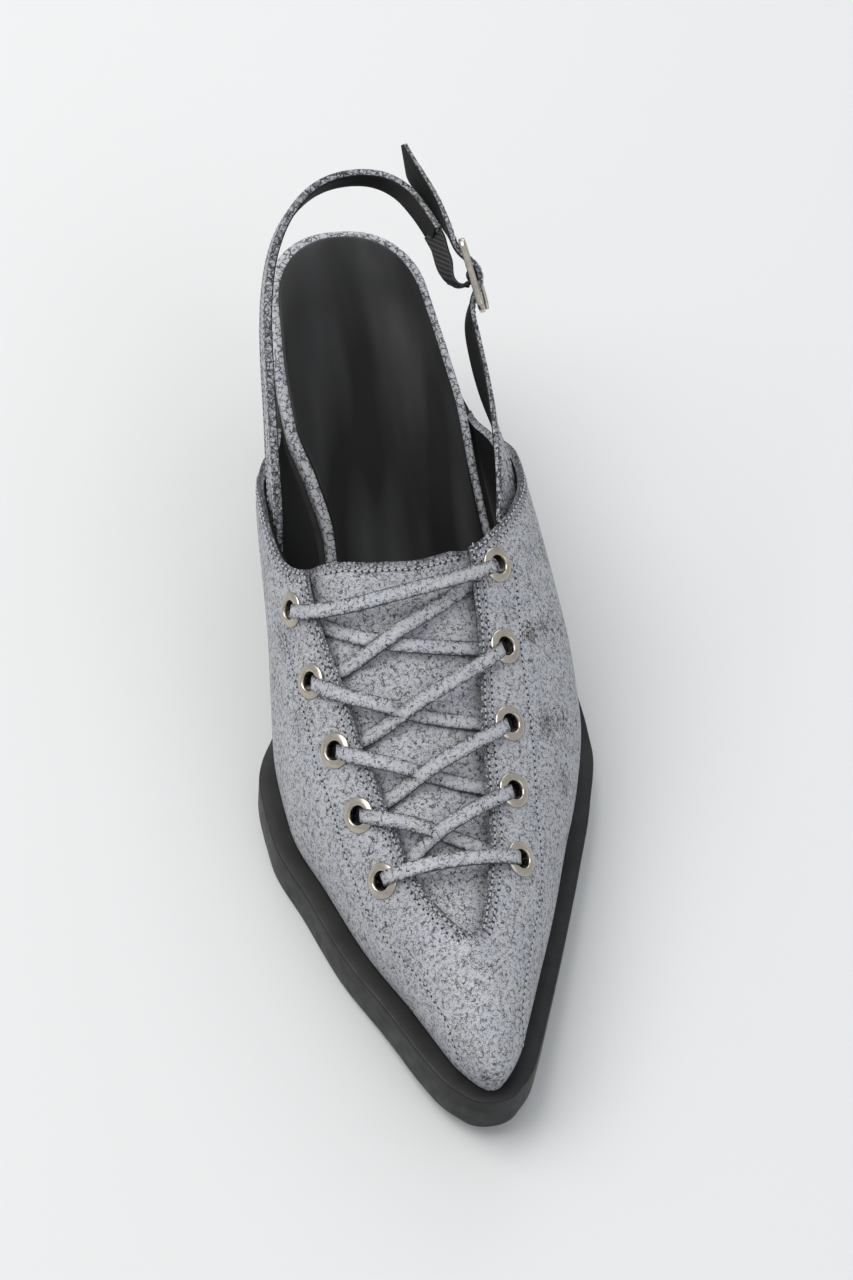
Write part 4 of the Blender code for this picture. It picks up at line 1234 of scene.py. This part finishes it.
path = read_along(HEEL_STRAP, SLING_COUNT)
sling_points = eased_line(place_of(path), 160)
sling_across = leaning(sling_points, path["lean"])
sling_widths = np.full(SLING_COUNT, STRAP_WIDTH)
sling = strap_piece("sling_strap", sling_points, sling_across, sling_widths, SLING_THICK)
strap_hide = crackle_leather("strap_crackle", 2.0, 0.055, 0.8, 0.35)
finished(sling, "crackle_leather", ("heel_strap",), strap_hide, black_lining)
stitching("sling_stitches", *strap_rows(sling_points, sling_across, sling_widths, SLING_THICK))

loop_angles = np.radians(np.linspace(20, 300, 15))
loop = in_buckle(np.stack([1.4 * np.cos(loop_angles), np.zeros(15), 1.4 * np.sin(loop_angles)], 1))
elastic_points = np.vstack([place_of(ELASTIC), in_buckle(((2.0, 0.0, -3.4), (1.7, 0.0, -1.4))), loop])
elastic_points = eased_line(even_line(elastic_points, 119), 12)
turned = ease(np.linspace(0, 1, 120), 0.32, 0.62)[:, None]
elastic_across = (1 - turned) * np.array((0.33, -0.14, 0.934)) + turned * buckle_across
elastic = strap_piece("sling_elastic", elastic_points, elastic_across, np.full(120, 7.0), 0.9, corner=0.25)
elastic_web, shader = plain_material("elastic_web", (0.012, 0.012, 0.013), 0.75)
ribs = waves_of(shader, "DIAGONAL", 330, 0.8)
vary(shader, "Base Color", ribs, 0.2, 0.9, (0.006, 0.006, 0.006), (0.030, 0.030, 0.032))
bump_of(shader, ribs, 0.6, 0.0003)
finished(elastic, "elastic_black", ("strap_elastic",), elastic_web, elastic_web)

# Buckle strap
# The lateral strap is cut in one with the inside of the vamp. It narrows to 8 mm, passes through
# the buckle from within, over its bar, and ends in a free tail cut at a slant.
THROUGH_BUCKLE = {
    "along": (-13, -9, -6, -3.2, 0, 3.0, 5.4, 9, 13),
    "out": (-2.4, -2.4, -1.0, 1.4, 2.4, 1.4, -1.0, -3.2, -4.4),
}
TAIL = {
    "station": (8, 19, 27),
    "x": (18.2, 22.1, 25.1),
    "z": (108.6, 106.0, 104.4),
    "lean": (-5, -4, 0),
    "width": (8, 8, 8),
}
WING = {
    "station": (62, 72, 84, 95, 104, 113),
    "x": (30.5, 31.1, 32.0, 32.6, 32.4, 31.4),
    "z": (84.8, 81.6, 78.6, 75.0, 71.5, 67.0),
    "lean": (-10, -7, 12, 27, 28, 28),
    "width": (8, 8.5, 9.5, 11, 13, 14),
}

TAIL_THICK = 1.6

tail_points, wing_points = place_of(TAIL), place_of(WING)
tail_across, wing_across = leaning(tail_points, TAIL["lean"]), leaning(wing_points, WING["lean"])
weave = np.array([BUCKLE_CENTRE + buckle_along * a + buckle_out * b
                  for a, b in zip(THROUGH_BUCKLE["along"], THROUGH_BUCKLE["out"])])
bend_points = np.vstack([tail_points, weave, wing_points])
turned = ease(np.array(THROUGH_BUCKLE["along"], float), 4.0, 13.0)[:, None]
weave_across = (1 - turned) * buckle_across + turned * wing_across[0]
bend_across = np.vstack([tail_across, weave_across, wing_across])
bend_widths = np.concatenate([TAIL["width"], np.full(len(weave), STRAP_WIDTH), WING["width"]])
bend = {"x": bend_points[:, 0], "station": bend_points[:, 1], "z": bend_points[:, 2],
        "across_x": bend_across[:, 0], "across_s": bend_across[:, 1], "across_z": bend_across[:, 2],
        "width": bend_widths}
path = read_along(bend, 300)
strap_points = eased_line(place_of(path), 50)
strap_across = eased_line(np.stack([path["across_x"], path["across_s"], path["across_z"]], 1), 260)
# The tail is cut at a slant, so its first 7 mm narrow from below to the top corner
cut_away = 6.6 * (1 - np.clip(travelled(strap_points) / 7.0, 0, 1))
strap_widths = path["width"] - cut_away
strap_points = strap_points + strap_across * (cut_away / 2)[:, None]
buckle_strap = strap_piece("buckle_strap_leather", strap_points, strap_across, strap_widths, TAIL_THICK)
strap_threads = strap_rows(strap_points, strap_across, strap_widths, TAIL_THICK, start=4.0, end=18.0)
stitching("buckle_strap_stitches", *strap_threads)
finished(buckle_strap, "crackle_leather", ("buckle_strap",), strap_hide, black_lining)

# Buckle
# A small cast nickel frame with a bar across its middle, and a bent pin that turns on the bar and
# rests on the front of the frame over the strap.
BUCKLE_LENGTH, BUCKLE_WIDTH, BUCKLE_BAR = 21.0, 15.0, 2.0
FRAME_WIRE = 1.9
FRAME_CORNER = 1.6
BAR_RADIUS = 0.9
PIN_RADIUS, PIN_TIP = 0.6, 0.42

half_length = (BUCKLE_LENGTH - BUCKLE_BAR) / 2 - FRAME_CORNER
half_width = (BUCKLE_WIDTH - BUCKLE_BAR) / 2 - FRAME_CORNER
corner_line = []
for turn, (x, y) in enumerate(((1, 1), (-1, 1), (-1, -1), (1, -1))):
    for step in range(9):
        angle = math.radians(90 * turn + 90 * step / 8)
        corner_line.append((x * half_length + FRAME_CORNER * math.cos(angle),
                            y * half_width + FRAME_CORNER * math.sin(angle)))
frame_line = even_line(np.array(corner_line), 144, closed=True)
frame_line = np.column_stack([frame_line, np.zeros(len(frame_line))])
frame_out = np.repeat(np.array([[0.0, 0.0, 1.0]]), len(frame_line), axis=0)
frame_widths = np.full(len(frame_line), FRAME_WIRE)
frame_sections = strip_sections(frame_line, frame_out, frame_widths, FRAME_WIRE, closed=True, corner=0.6)
frame_rings = in_buckle(np.concatenate([frame_sections, frame_sections[:1]]))
frame_ring = stacked("buckle_frame_ring", frame_rings, crease=60)


def rod(name, line, radii):
    """A round wire along a line of buckle points."""
    line, radii = np.asarray(line, float), np.asarray(radii, float)
    along = unit(np.gradient(line, axis=0))
    guide = (0.0, 1.0, 0.0) if abs(along[0][1]) < 0.9 else (0.0, 0.0, 1.0)
    first = unit(np.cross(along, guide))
    second = np.cross(along, first)
    angles = 2 * np.pi * np.arange(16) / 16
    rings = (line[:, None] + radii[:, None, None] * (np.cos(angles)[None, :, None] * first[:, None]
                                                     + np.sin(angles)[None, :, None] * second[:, None]))
    return stacked(name, in_buckle(capped(rings)), crease=60)


bar_line = np.stack([np.zeros(12), np.linspace(-6.6, 6.6, 12), np.zeros(12)], 1)
bar = rod("buckle_bar", bar_line, np.full(12, BAR_RADIUS))
pick(frame_ring, bar)
bpy.ops.object.join()
finished(frame_ring, "nickel", ("buckle_frame",), nickel)

pin_table = {"travel": (0, 1, 2, 3, 4, 5, 6), "along": (0.4, 1.4, 2.6, 4.0, 6.0, 8.2, 10.2),
             "out": (1.2, 1.35, 1.5, 1.65, 1.65, 1.55, 1.4)}
steps = np.linspace(0, 6, 40)
pin_line = np.stack([smooth(pin_table, "along", steps, "travel"), np.zeros(40),
                     smooth(pin_table, "out", steps, "travel")], 1)
pin_radii = np.concatenate([np.full(34, PIN_RADIUS), np.linspace(PIN_RADIUS, PIN_TIP, 6)])
pin = rod("buckle_pin", pin_line, pin_radii)
finished(pin, "nickel", ("buckle_prong",), nickel)
